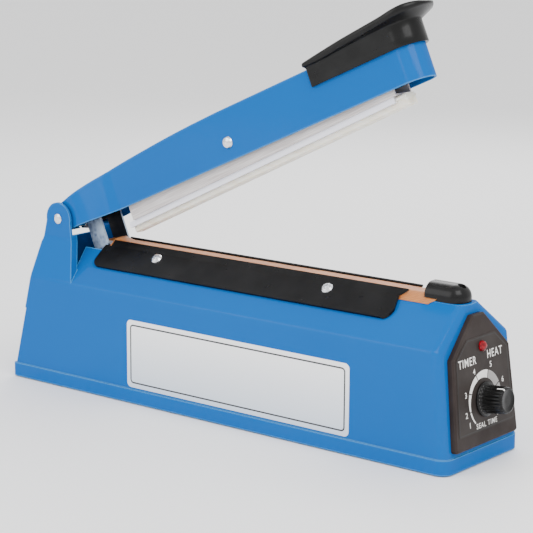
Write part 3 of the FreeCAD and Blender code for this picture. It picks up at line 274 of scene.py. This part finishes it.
def silicone(name):
    """Cast translucent silicone with faint cloudy streaks."""
    finish = Finish(name, paint(240, 234, 220), 0.45, Subsurface_Weight=0.35, Subsurface_Scale=0.004)
    finish.shader.inputs["Subsurface Radius"].default_value = (1.0, 0.85, 0.6)
    cloud = finish.noise(1.0, 4, place=finish.stretched((40, 260, 260)))
    finish.set("Base Color",
               finish.blended(finish.spread(cloud, 0, 1, 0.3, 0.7), paint(232, 224, 204),
                              paint(246, 243, 234)))
    finish.bump(finish.noise(500, 3), 0.00003, 0.5)
    return finish.material


def lens(name):
    """Clear red moulded lens over a faceted reflector."""
    finish = Finish(name, paint(150, 0, 24), 0.12, Specular_IOR_Level=0.2, Coat_Weight=0.2)
    facets = finish.cells(420)
    finish.set("Base Color",
               finish.blended(finish.spread(facets, 0, 1, 0.1, 0.8), paint(150, 0, 20), paint(84, 0, 10)))
    finish.bump(facets, 0.0001, 0.15)
    return finish.material


def printed_foil(name):
    """Silver-white label stock with a painted blue-grey reflection that grows towards its lower edge."""
    finish = Finish(name, paint(236, 239, 243), 0.32, metallic=0.1, Coat_Weight=0.2)
    split = finish.nodes.new("ShaderNodeSeparateXYZ")
    finish.feed(split.inputs["Vector"], finish.place)
    # painted reflection: the colour turns blue-grey lower on the label
    height = finish.spread(split.outputs["Z"], 1.0, 0.0, 0.012, 0.06)
    finish.set("Base Color", finish.blended(height, paint(244, 245, 247), paint(196, 208, 222)))
    finish.set("Roughness", finish.spread(finish.noise(160, 3), 0.28, 0.38, 0.3, 0.7))
    return finish.material


def laminations(name):
    """Varnished steel laminations, stacked along Y."""
    finish = Finish(name, paint(62, 56, 54), 0.5, metallic=0.4)
    stack = finish.waves(320, "Y", distortion=0.4)
    finish.set("Base Color", finish.blended(stack, paint(40, 36, 34), paint(96, 88, 84)))
    finish.bump(stack, 0.0002, 0.6)
    return finish.material


def winding_tape(name):
    """Yellow polyester tape with overlapped turns."""
    finish = Finish(name, paint(222, 180, 52), 0.32, Coat_Weight=0.4)
    turns = finish.waves(28, "Z", distortion=0.3)
    finish.set("Base Color", finish.blended(turns, paint(196, 148, 34), paint(236, 200, 84)))
    finish.bump(turns, 0.0003, 0.5)
    return finish.material


def solder_mask(name):
    """Green board with copper tracks showing through as a lighter grid."""
    finish = Finish(name, paint(22, 96, 54), 0.3, Coat_Weight=0.6)
    tracks = finish.spread(finish.cells(150, feature="DISTANCE_TO_EDGE"), 1.0, 0.0, 0.03, 0.08)
    finish.set("Base Color", finish.blended(tracks, paint(18, 84, 46), paint(58, 140, 84)))
    finish.bump(tracks, 0.00005, 0.6)
    return finish.material


FINISHES = {
    "blue_paint": gloss_enamel("blue_paint", paint(0, 89, 163), paint(0, 82, 155)),
    "black_moulding": moulded("black_moulding", paint(8, 8, 8), 0.3, Specular_IOR_Level=0.14,
                              Coat_Weight=0.12, Coat_Roughness=0.15),
    "black_gloss": moulded("black_gloss", paint(8, 8, 8), 0.24, grain=300, depth=0.000005,
                           Specular_IOR_Level=0.2),
    "panel_plastic": moulded("panel_plastic", paint(40, 33, 31), 0.5, grain=1200, Specular_IOR_Level=0.12),
    "panel_film": moulded("panel_film", paint(44, 39, 37), 0.46, grain=1600, depth=0.00001,
                          Specular_IOR_Level=0.12),
    "lamp_red": lens("lamp_red"),
    "grey_bar": grey_channel("grey_bar"),
    "bright_aluminium": anodised("bright_aluminium"),
    "silicone": silicone("silicone"),
    "ptfe_tan": glass_cloth("ptfe_tan"),
    "black_enamel": moulded("black_enamel", paint(7, 7, 8), 0.3, grain=500, depth=0.00001,
                            Specular_IOR_Level=0.16),
    "zinc_steel": plated("zinc_steel", paint(232, 234, 238), 0.24),
    "galvanised": galvanised("galvanised"),
    "spring_steel": plated("spring_steel", paint(214, 200, 192), 0.24, brush=(500, 500, 500)),
    "nichrome": plated("nichrome", paint(150, 146, 142), 0.4, brush=(20, 1500, 1500)),
    "brass": plated("brass", paint(214, 178, 96), 0.28),
    "foot_rubber": moulded("foot_rubber", paint(34, 34, 34), 0.75, grain=700, depth=0.00005),
    "label_silver": printed_foil("label_silver"),
    "core_steel": laminations("core_steel"),
    "coil_tape": winding_tape("coil_tape"),
    "board_green": solder_mask("board_green"),
    "relay_blue": moulded("relay_blue", paint(36, 84, 150), 0.36),
    "nylon": moulded("nylon", paint(226, 226, 220), 0.45, Subsurface_Weight=0.1),
}


def soften(node, width):
    """Rounds a CAD part's sharp edges a little, so that they catch the light."""
    bevel = NODES[node].modifiers.new("soft_edges", "BEVEL")
    bevel.width = width * MM
    bevel.segments = 2
    bevel.limit_method = "ANGLE"
    bevel.angle_limit = SHARP_ANGLE
    bevel.use_clamp_overlap = True
    bevel.harden_normals = True


# the width in millimetres of the round at each sheet part's sharp edges
SOFT_EDGES = {"housing": 0.5, "arm_shell": 0.35, "front_clamp_plate": 0.25}
SHARP_ANGLE = math.radians(40)

for sheet_part, edge_width in SOFT_EDGES.items():
    soften(sheet_part, edge_width)

for node, piece in NODES.items():
    for holder in piece.material_slots:
        holder.material = FINISHES[SLOTS[node]]


# ---------------------------------------------------------------- places and meshes

HINGE = Vector((-185.0, 0.0, 134.4)) * MM
ARM_RISE = math.radians(23.38)
ARM = Matrix.Translation(HINGE) @ Matrix.Rotation(-ARM_RISE, 4, "Y")
PANEL_FOOT = Vector((205.0, 0.0, 12.0)) * MM
PANEL_LEAN = math.radians(6.3)
PANEL_OUT = Vector((math.cos(PANEL_LEAN), 0.0, math.sin(PANEL_LEAN)))
PANEL_UP = Vector((-math.sin(PANEL_LEAN), 0.0, math.cos(PANEL_LEAN)))
PANEL = Matrix.Translation(PANEL_FOOT) @ Matrix((Vector((0, 1, 0)), PANEL_UP,
                                                 PANEL_OUT)).transposed().to_4x4()
SIDE_LEAN = 0.52
LABEL_FOOT = Vector((-9.0, -46.93, 0.0)) * MM
LABEL = Matrix.Translation(LABEL_FOOT) @ Matrix.Rotation(math.radians(90 - SIDE_LEAN), 4, "X")


# points nearer to each other than this, in metres, are one
SAME_POINT = 1e-7


def piece_from(name, points, faces, slot, place=Matrix(), finish=None, smooth=True):
    """A mesh from points in millimetres, set in its place, with outward faces."""
    mesh = bpy.data.meshes.new(name)
    mesh.from_pydata([place @ (Vector(p) * MM) for p in points], [], faces)
    work = bmesh.new()
    work.from_mesh(mesh)
    bmesh.ops.remove_doubles(work, verts=work.verts, dist=SAME_POINT)
    bmesh.ops.recalc_face_normals(work, faces=work.faces)
    work.to_mesh(mesh)
    work.free()
    for face in mesh.polygons:
        face.use_smooth = smooth
    piece = bpy.data.objects.new(name, mesh)
    bpy.context.scene.collection.objects.link(piece)
    piece.data.materials.append(finish or FINISHES[slot])
    return piece


def bands(rings, closed=True):
    """Faces between one ring of points and the next."""
    count = len(rings[0])
    faces = []
    for ring in range(len(rings) - 1):
        for i in range(count if closed else count - 1):
            j = (i + 1) % count
            faces.append((ring * count + i, ring * count + j, (ring + 1) * count + j, (ring + 1) * count + i))
    return faces


def crease_sharply(piece, degrees):
    """Shades smooth except over edges that turn more than this."""
    limit = math.radians(degrees)
    work = bmesh.new()
    work.from_mesh(piece.data)
    for edge in work.edges:
        edge.smooth = edge.calc_face_angle(0.0) < limit
    work.to_mesh(piece.data)
    work.free()


def read_off(line, x):
    """The height of a smooth line through (x, z) points."""
    if x <= line[0][0]:
        return line[0][1]
    for i in range(len(line) - 1):
        (x0, z0), (x1, z1) = line[i], line[i + 1]
        if x <= x1:
            before = line[i - 1] if i else line[i]
            after = line[i + 2] if i + 2 < len(line) else line[i + 1]
            start = (z1 - before[1]) / (x1 - before[0]) * (x1 - x0)
            end = (after[1] - z0) / (after[0] - x0) * (x1 - x0)
            t = (x - x0) / (x1 - x0)
            return ((2 * t ** 3 - 3 * t ** 2 + 1) * z0 + (t ** 3 - 2 * t ** 2 + t) * start
                    + (3 * t ** 2 - 2 * t ** 3) * z1 + (t ** 3 - t ** 2) * end)
    return line[-1][1]


# ---------------------------------------------------------------- grip

# heights along the arm: the rolled lip's top and lower edge, and the skirt's top under it
GRIP_TOP = ((274, 32.6), (289, 34.2), (314, 36.4), (335, 37.7), (355, 38.9), (366, 40.2), (374, 41.0),
            (380, 40.5),
            (383, 39.2))
GRIP_LIP = ((274, 29.3), (292, 29.3), (312, 30.6), (339, 32.3), (357, 33.6), (368, 34.8), (376, 35.8),
            (383, 36.8))
GRIP_UNDER = ((274, 29.3), (292, 29.2), (312, 30.3), (339, 31.2), (357, 31.4), (371, 31.6))

# outlines from above: rear end, centre of the nose, half width at the nose and at the rear, rear corner
LEDGE = (274.5, 361, 22, 19.3, 3.0)
SKIRT = (276, 354, 16.7, 16.7, 1.6)
ROOM = (276, 353.5, 14.65, 14.65, 0.3)
ROOM_TOP = 27.75
ROOM_MOUTH = 14.4
# the skirt's foot: how far in and how high
SKIRT_FOOT = ((1.0, 14.0), (0.3, 14.1), (0.0, 14.6), (0.0, 20), (0.0, 26))
# where the skirt meets the ledge: how far in and how far from the ledge's lower face
SKIRT_NECK = ((0.0, -1.6), (-0.35, -0.6), (-1.0, -0.05))
# round the lip: how far in, and the share of its height
LIP_ROLL = ((1.8, -0.04), (0.75, 0.05), (0.22, 0.22), (0.0, 0.42), (0.0, 0.58), (0.2, 0.76), (0.65, 0.9),
            (1.4, 0.975), (2.6, 1.0))
# over the ledge's domed top: how far in, and how much higher
LEDGE_DOME = ((4.5, 0.15), (8.0, 0.3), (12, 0.4), (16, 0.42))
CORNER_STEPS, SIDE_STEPS, NOSE_STEPS = 6, 26, 24
GRIP_CREASE = 42


def grip_outline(outline, inset=0.0):
    """The grip's outline from above, from the rear's middle round the nose and back."""
    rear, nose, half, rear_half, corner = outline
    rear, half, rear_half = rear + inset, half - inset, rear_half - inset
    corner = max(corner - inset, 0.2)
    near = [(rear, -(rear_half - corner) * i / 5) for i in range(5)]
    for i in range(CORNER_STEPS + 1):
        turn = math.pi / 2 * i / CORNER_STEPS
        near.append((rear + corner - corner * math.cos(turn),
                     -(rear_half - corner) - corner * math.sin(turn)))
    for i in range(1, SIDE_STEPS):
        t = i / SIDE_STEPS
        near.append((rear + corner + (nose - rear - corner) * t, -(rear_half + (half - rear_half) * t)))
    for i in range(NOSE_STEPS + 1):
        turn = math.pi / 2 * i / NOSE_STEPS
        near.append((nose + half * math.sin(turn), -half * math.cos(turn)))
    return near + [(x, -y) for x, y in reversed(near[1:-1])]


def build_grip():
    """One moulding: a skirt over the arm's nose and a thumb ledge with a thick rolled lip."""
    def ledge_ring(inset, share, lift=0.0):
        ring = []
        for x, y in grip_outline(LEDGE, inset):
            low, top = read_off(GRIP_LIP, x), read_off(GRIP_TOP, x)
            ring.append((x, y, low + (top - low) * share + lift))
        return ring

    room = grip_outline(ROOM)
    rings = [[(x, y, height) for x, y in room] for height in (ROOM_TOP, ROOM_MOUTH)]
    rings += [[(x, y, height) for x, y in grip_outline(SKIRT, inset)] for inset, height in SKIRT_FOOT]
    rings += [[(x, y, read_off(GRIP_UNDER, x) + rise) for x, y in grip_outline(SKIRT, inset)]
              for inset, rise in SKIRT_NECK]
    rings += [ledge_ring(inset, share) for inset, share in LIP_ROLL]
    rings += [ledge_ring(inset, 1.0, lift) for inset, lift in LEDGE_DOME]
    faces = bands(rings)
    count = len(rings[0])
    half_count = count // 2
    for base in (0, (len(rings) - 1) * count):
        for i in range(half_count):
            j = i + 1
            opposite = [(count - i) % count, (count - j) % count]
            corners = [base + i, base + j, base + opposite[1], base + opposite[0]]
            faces.append(tuple(dict.fromkeys(corners)))
    points = [p for ring in rings for p in ring]
    grip = piece_from("grip", points, faces, "black_moulding", ARM)
    crease_sharply(grip, GRIP_CREASE)
    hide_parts("arm_handle")
    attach(grip, "arm")


# ---------------------------------------------------------------- timer knob and dial

DIAL_UP = 34.7
FILM_FACE = 5.05
INK_LIFT = 0.03

KNOB_SEAT = 5.3
KNOB_STEPS = 216
KNOB_CREASE = 38
FLUTES = 22
# the knob's profile from the panel outwards: radius, height, and how deep its flutes are there
KNOB_PROFILE = ((6.2, 0.0, 0), (11.9, 0.0, 0), (12.4, 0.3, 0), (12.5, 0.9, 0), (12.2, 1.5, 0), (11.5, 2.0, 0),
                (10.6, 2.4, 0), (10.3, 3.0, 0.3), (10.2, 3.6, 0.9), (9.9, 10.0, 0.9), (9.6, 16.6, 0.85),
                (9.3, 17.7, 0.5), (8.9, 18.35, 0), (8.2, 18.65, 0), (7.6, 18.65, 0), (7.2, 18.35, 0),
                (3.0, 18.3, 0), (0.3, 18.3, 0))
# the pointer: its angle, half width, lower and upper end, and distance from the axis
POINTER = (115, 0.55, 12.9, 18.2, 9.62)
# the dashes round the skirt: radii, first and last angle, pitch, length, and height at each radius
DASH_RADII = (10.9, 11.5)
DASH_ANGLES = (112, 240, 14)
DASH_LENGTH = 7.0
DASH_HEIGHTS = (2.34, 2.04)


def knob_ring(radius, height, depth):
    """A circle of points about the dial's centre, ribbed where the flutes have a depth."""
    ring = []
    for i in range(KNOB_STEPS):
        turn = 2 * math.pi * i / KNOB_STEPS
        rib = abs(math.cos(turn * FLUTES / 2)) ** 0.7
        reach = radius - depth * (1 - rib)
        ring.append((reach * math.cos(turn), reach * math.sin(turn), height))
    return ring


def build_knob():
    """A ribbed phenolic knob on a flat skirt, its pointer a white line on the rim."""
    place = PANEL @ Matrix.Translation(Vector((0, DIAL_UP, KNOB_SEAT)) * MM)
    rings = [knob_ring(radius, height, depth) for radius, height, depth in KNOB_PROFILE]
    faces = bands(rings)
    count = len(rings[0])
    faces += [tuple(range(count)), tuple(range((len(rings) - 1) * count, len(rings) * count))]
    knob = piece_from("timer_knob_ribbed", [p for ring in rings for p in ring], faces, "black_gloss", place)
    crease_sharply(knob, KNOB_CREASE)
    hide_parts("timer_knob")
    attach(knob, "timer_dial")
    points, quads = block_on_rim(*POINTER)
    pointer = piece_from("timer_pointer", points, quads, "black_gloss", place, INK["white"])
    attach(pointer, "timer_dial")
    dashes = [sector(*DASH_RADII, start, start + DASH_LENGTH, *DASH_HEIGHTS) for start in range(*DASH_ANGLES)]
    points, quads = joined(dashes)
    scale = piece_from("timer_skirt_dashes", points, quads, "black_gloss", place, INK["dash"])
    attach(scale, "timer_dial")


def block_on_rim(turn, half_width, low, high, reach):
    """A thin line up the knob's side at an angle, carried over its rim."""
    angle = math.radians(turn)
    across = Vector((-math.sin(angle), math.cos(angle), 0)) * half_width
    out = Vector((math.cos(angle), math.sin(angle), 0))
    path = [out * (reach + 0.25) + Vector((0, 0, low)), out * (reach + 0.12) + Vector((0, 0, high - 0.7)),
            out * (reach - 0.35) + Vector((0, 0, high + 0.25)), out * (reach - 1.1) + Vector((0, 0,
                                                                                              high + 0.55))]
    points = [p + side for p in path for side in (-across, across)]
    return points, [(2 * i, 2 * i + 1, 2 * i + 3, 2 * i + 2) for i in range(len(path) - 1)]


def sector(inner, outer, start, end, inner_height=0.0, outer_height=0.0, inner_end=None):
    """A flat piece of a ring between two angles; its inner radius may change along it."""
    inner_end = inner if inner_end is None else inner_end
    steps = max(2, int(abs(end - start) / 2))
    points = []
    for i in range(steps + 1):
        t = i / steps
        angle = math.radians(start + (end - start) * t)
        near = inner + (inner_end - inner) * t
        points.append(Vector((near * math.cos(angle), near * math.sin(angle), inner_height)))
        points.append(Vector((outer * math.cos(angle), outer * math.sin(angle), outer_height)))
    return points, [(2 * i, 2 * i + 1, 2 * i + 3, 2 * i + 2) for i in range(steps)]


def joined(shapes):
    """Several (points, faces) as one."""
    points, faces = [], []
    for some_points, some_faces in shapes:
        shift = len(points)
        points += [Vector(p) for p in some_points]
        faces += [tuple(i + shift for i in face) for face in some_faces]
    return points, faces


def moved(shape, u, v):
    points, faces = shape
    return [p + Vector((u, v, 0)) for p in points], faces


def lettering(words, height, u, v, narrow=1.0):
    """Flat lettering as (points, faces) in millimetres, centred on (u, v)."""
    curve = bpy.data.curves.new(words, "FONT")
    curve.body = words
    curve.size = 1.0
    curve.offset = 0.008
    curve.space_character = 1.18
    curve.resolution_u = 3
    holder = bpy.data.objects.new(words, curve)
    bpy.context.scene.collection.objects.link(holder)
    mesh = bpy.data.meshes.new_from_object(holder)
    xs = [p.co.x for p in mesh.vertices]
    ys = [p.co.y for p in mesh.vertices]
    middle = Vector(((min(xs) + max(xs)) / 2, (min(ys) + max(ys)) / 2, 0))
    size = height / (max(ys) - min(ys))
    points = []
    for vertex in mesh.vertices:
        flat = (vertex.co - middle) * size
        flat.x *= narrow
        points.append(flat + Vector((u, v, 0)))
    faces = [tuple(face.vertices) for face in mesh.polygons]
    bpy.data.objects.remove(holder)
    bpy.data.meshes.remove(mesh)
    bpy.data.curves.remove(curve)
    return points, faces


def ink(name, color):
    """Screen-printed ink, slightly uneven in its cover."""
    finish = Finish(name, color, 0.55)
    thin = tuple(part * 0.82 for part in color[:3]) + (1.0,)
    finish.set("Base Color",
               finish.blended(finish.spread(finish.noise(900, 3), 0.0, 0.6, 0.45, 0.7), color, thin))
    return finish.material


INK = {"white": ink("ink_white", paint(236, 234, 230)), "grey": ink("ink_grey", paint(150, 148, 146)),
       "black": ink("ink_black", paint(40, 38, 42)), "rim": ink("ink_rim", paint(20, 17, 16)),
       "dash": ink("ink_dash", paint(58, 57, 56))}

# each step of the scale: its angle, and the white band's width there
SCALE_STEPS = ((228, 1.0), (197, 1.5), (159, 3.0), (117, 4.3), (73, 5.8), (25, 6.6))
# each number: its angle and distance from the knob's axis
NUMBERS = (("1", 215, 25.5), ("2", 196, 25.2), ("3", 163, 24.6), ("4", 118, 24.4), ("5", 67, 25.0),
           ("6", 22, 25.5),
           ("7", -17, 25.5))
SCALE_RADIUS = 20.6
SCALE_GAP = 1.3
SCALE_END = -46
# steps of the scale that end below this angle are grey
GREY_BELOW = 60
NUMBER_HEIGHT = 4.1
# each legend: its words, height, place across and up the panel, and narrowing
LEGENDS = (("TIMER", 5.8, -19.0, 64.2, 0.86), ("HEAT", 5.8, 15.9, 65.4, 0.86),
           ("SEAL TIME", 3.8, 0, 17.4, 0.95))
FILM_EDGE = ((-34.1, 14.2), (34.1, 14.2), (31.7, 67.1), (17.6, 79.0), (-17.6, 79.0), (-31.7, 67.1))
FILM_LINE = 0.7


def print_on_panel(name, shapes, color):
    points, faces = joined(shapes)
    lifted = [(p.x, p.y, FILM_FACE + INK_LIFT) for p in points]
    printed = piece_from(name, lifted, faces, "panel_film", PANEL, INK[color], smooth=False)
    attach(printed, "base")


def build_dial_print():
    """The scale: a band that widens from 1 to 5, a grey part beyond it, and plain numbers."""
    outer, gap = SCALE_RADIUS, SCALE_GAP
    white, grey = [], []
    for (start, width), (end, next_width) in zip(SCALE_STEPS, SCALE_STEPS[1:]):
        band = sector(outer - width, outer, start - gap, end + gap, inner_end=outer - next_width)
        (grey if end < GREY_BELOW else white).append(moved(band, 0, DIAL_UP))
    last_angle, last_width = SCALE_STEPS[-1]
    grey.append(moved(sector(outer - last_width, outer, last_angle - gap, SCALE_END), 0, DIAL_UP))
    for number, angle, reach in NUMBERS:
        u, v = reach * math.cos(math.radians(angle)), reach * math.sin(math.radians(angle))
        white.append(lettering(number, NUMBER_HEIGHT, u, DIAL_UP + v))
    white += [lettering(*legend) for legend in LEGENDS]
    print_on_panel("dial_print_white", white, "white")
    print_on_panel("dial_print_grey", grey, "grey")
    print_on_panel("dial_print_border", [outline_band(FILM_EDGE, FILM_LINE)], "rim")


def outline_band(corners, width):
    """A line of this width inside a closed outline that goes anticlockwise."""
    inner = []
    count = len(corners)
    for i in range(count):
        before, here, after = (Vector(corners[(i + k) % count]) for k in (-1, 0, 1))
        first, second = (here - before).normalized(), (after - here).normalized()
        normals = [Vector((-d.y, d.x)) for d in (first, second)]
        middle = (normals[0] + normals[1]).normalized()
        inner.append(here + middle * (width / middle.dot(normals[0])))
    points = [Vector((p[0], p[1], 0)) for p in list(corners) + inner]
    return points, [(i, (i + 1) % count, count + (i + 1) % count, count + i) for i in range(count)]


def rounded_corners(low_u, low_v, high_u, high_v, radius):
    """A rectangle's outline with round corners, anticlockwise."""
    middles = ((high_u - radius, low_v + radius, -90), (high_u - radius, high_v - radius, 0),
               (low_u + radius, high_v - radius, 90), (low_u + radius, low_v + radius, 180))
    turns = [(u, v, math.radians(start + 15 * i)) for u, v, start in middles for i in range(7)]
    return [(u + radius * math.cos(turn), v + radius * math.sin(turn)) for u, v, turn in turns]


# the label's border: its lower and upper corner, corner radius, line width, and face
BORDER = (-82.6, 16.9, 127.6, 64.1, 3.2)
BORDER_LINE = 1.2
BORDER_FACE = 0.34


def build_label_border():
    """The dark line just inside the blank label's edge."""
    points, faces = outline_band(rounded_corners(*BORDER), BORDER_LINE)
    lifted = [(p.x, p.y, BORDER_FACE) for p in points]
    border = piece_from("rating_label_border", lifted, faces, "label_silver", LABEL, INK["black"],
                        smooth=False)
    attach(border, "base")


# ---------------------------------------------------------------- cloth over the strip

CLOTH_REAR, CLOTH_FRONT, CLOTH_STEPS = -135.5, 180.5, 150
CLOTH_SHIFT = -9
CLOTH_HALF = 14.6
CLOTH_LIFT = 0.02
CLOTH_THICKNESS = 0.25
# the underside across the strip; with its thickness and ripple the cloth stays under the closed silicone
CLOTH_SECTION = ((-14.6, 111.6), (-13.2, 112.65), (-11.8, 113.87), (-9.2, 115.6), (-6.6, 117.25),
                 (-5.6, 117.62), (-3.0, 117.68), (0.0, 117.7), (3.0, 117.68), (5.6, 117.62),
                 (6.6, 117.25), (9.2, 115.6), (11.8, 113.87), (13.2, 112.65), (14.6, 111.6))
# the loose rear end curls up over this length, by this much
CURL_LENGTH, CURL_HEIGHT = 12, 2.4
# the side edges draw back at the front: by how much, and from what share of the half width
DRAW_BACK, DRAW_FROM = 5.5, 0.68
FRAY = 0.35


def build_cloth():
    """The coated glass cloth: creased over the bar, clamped at both sides, with a curled rear end."""
    points = []
    for i in range(CLOTH_STEPS + 1):
        t = i / CLOTH_STEPS
        x = CLOTH_REAR + (CLOTH_FRONT - CLOTH_REAR) * t
        curl = max(0.0, 1 - (x - CLOTH_REAR) / CURL_LENGTH) ** 2 * CURL_HEIGHT
        ripple = 0.05 * math.sin(x / 9.0) + 0.03 * math.sin(x / 3.7 + 1)
        for y, z in CLOTH_SECTION:
            edge = abs(y) / CLOTH_HALF
            slant = -DRAW_BACK * max(0.0, edge - DRAW_FROM) / (1 - DRAW_FROM) * t ** 6
            fray = FRAY * math.sin(y * 2.1 + 0.6) * (1 if i in (0, CLOTH_STEPS) else 0)
            lift = curl * (1 - 0.25 * edge) + ripple * (1 - edge) ** 0.5 + CLOTH_LIFT
            points.append((x + CLOTH_SHIFT + slant + fray, y, z + lift))
    count = len(CLOTH_SECTION)
    faces = [(i * count + j, i * count + j + 1, (i + 1) * count + j + 1, (i + 1) * count + j)
             for i in range(CLOTH_STEPS) for j in range(count - 1)]
    cloth = piece_from("strip_cloth", points, faces, "ptfe_tan")
    thickness = cloth.modifiers.new("thickness", "SOLIDIFY")
    thickness.thickness = CLOTH_THICKNESS * MM
    thickness.offset = 1.0
    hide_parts("ptfe_cloth")
    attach(cloth, "base")


build_grip()
build_knob()
build_dial_print()
build_label_border()
build_cloth()


# ---------------------------------------------------------------- floor, light and camera

FLOOR_SIZE = 12
FLOOR_COLOR = (0.93, 0.93, 0.935, 1.0)
WORLD_STRENGTH = 1.4
# each light: its name, place, size and power
LIGHTS = (("key", (0.9, -0.5, 1.2), 0.9, 15), ("front", (-0.7, -1.3, 0.8), 1.2, 11),
          ("back", (-0.5, 1.2, 1.0), 1.0, 10))
LIGHT_AIM = Vector((0, 0, 0.1))
CAMERA_PLACE = Vector((0.8912, -1.0748, 0.4052))
CAMERA_AIM = Vector((0.00771, 0.0, 0.11548))
CAMERA_LENS = 126.4
CAMERA_SENSOR = 36


def aimed(place, aim):
    """The turn that points a light or camera at its aim."""
    return (aim - place).to_track_quat("-Z", "Y").to_euler()


def build_floor():
    bpy.ops.mesh.primitive_plane_add(size=FLOOR_SIZE, location=(0, 0, 0))
    floor = bpy.context.object
    floor.name = "floor"
    surface = Finish("floor", FLOOR_COLOR, 0.75)
    surface.set("Roughness", surface.spread(surface.noise(3, 2), 0.65, 0.8))
    floor.data.materials.append(surface.material)


def build_light(name, place, size, power):
    data = bpy.data.lights.new(name, "AREA")
    data.shape = "RECTANGLE"
    data.size = size
    data.size_y = size
    data.energy = power
    light = bpy.data.objects.new(name, data)
    light.location = place
    light.rotation_euler = aimed(Vector(place), LIGHT_AIM)
    bpy.context.scene.collection.objects.link(light)


def build_world():
    world = bpy.data.worlds.new("studio")
    world.use_nodes = True
    back = world.node_tree.nodes["Background"]
    back.inputs["Color"].default_value = (1.0, 1.0, 1.0, 1.0)
    back.inputs["Strength"].default_value = WORLD_STRENGTH
    bpy.context.scene.world = world


def build_camera():
    data = bpy.data.cameras.new("camera")
    data.sensor_width = CAMERA_SENSOR
    data.lens = CAMERA_LENS
    camera = bpy.data.objects.new("camera", data)
    camera.location = CAMERA_PLACE
    camera.rotation_euler = aimed(CAMERA_PLACE, CAMERA_AIM)
    bpy.context.scene.collection.objects.link(camera)
    bpy.context.scene.camera = camera


build_floor()
build_world()
for light in LIGHTS:
    build_light(*light)
build_camera()
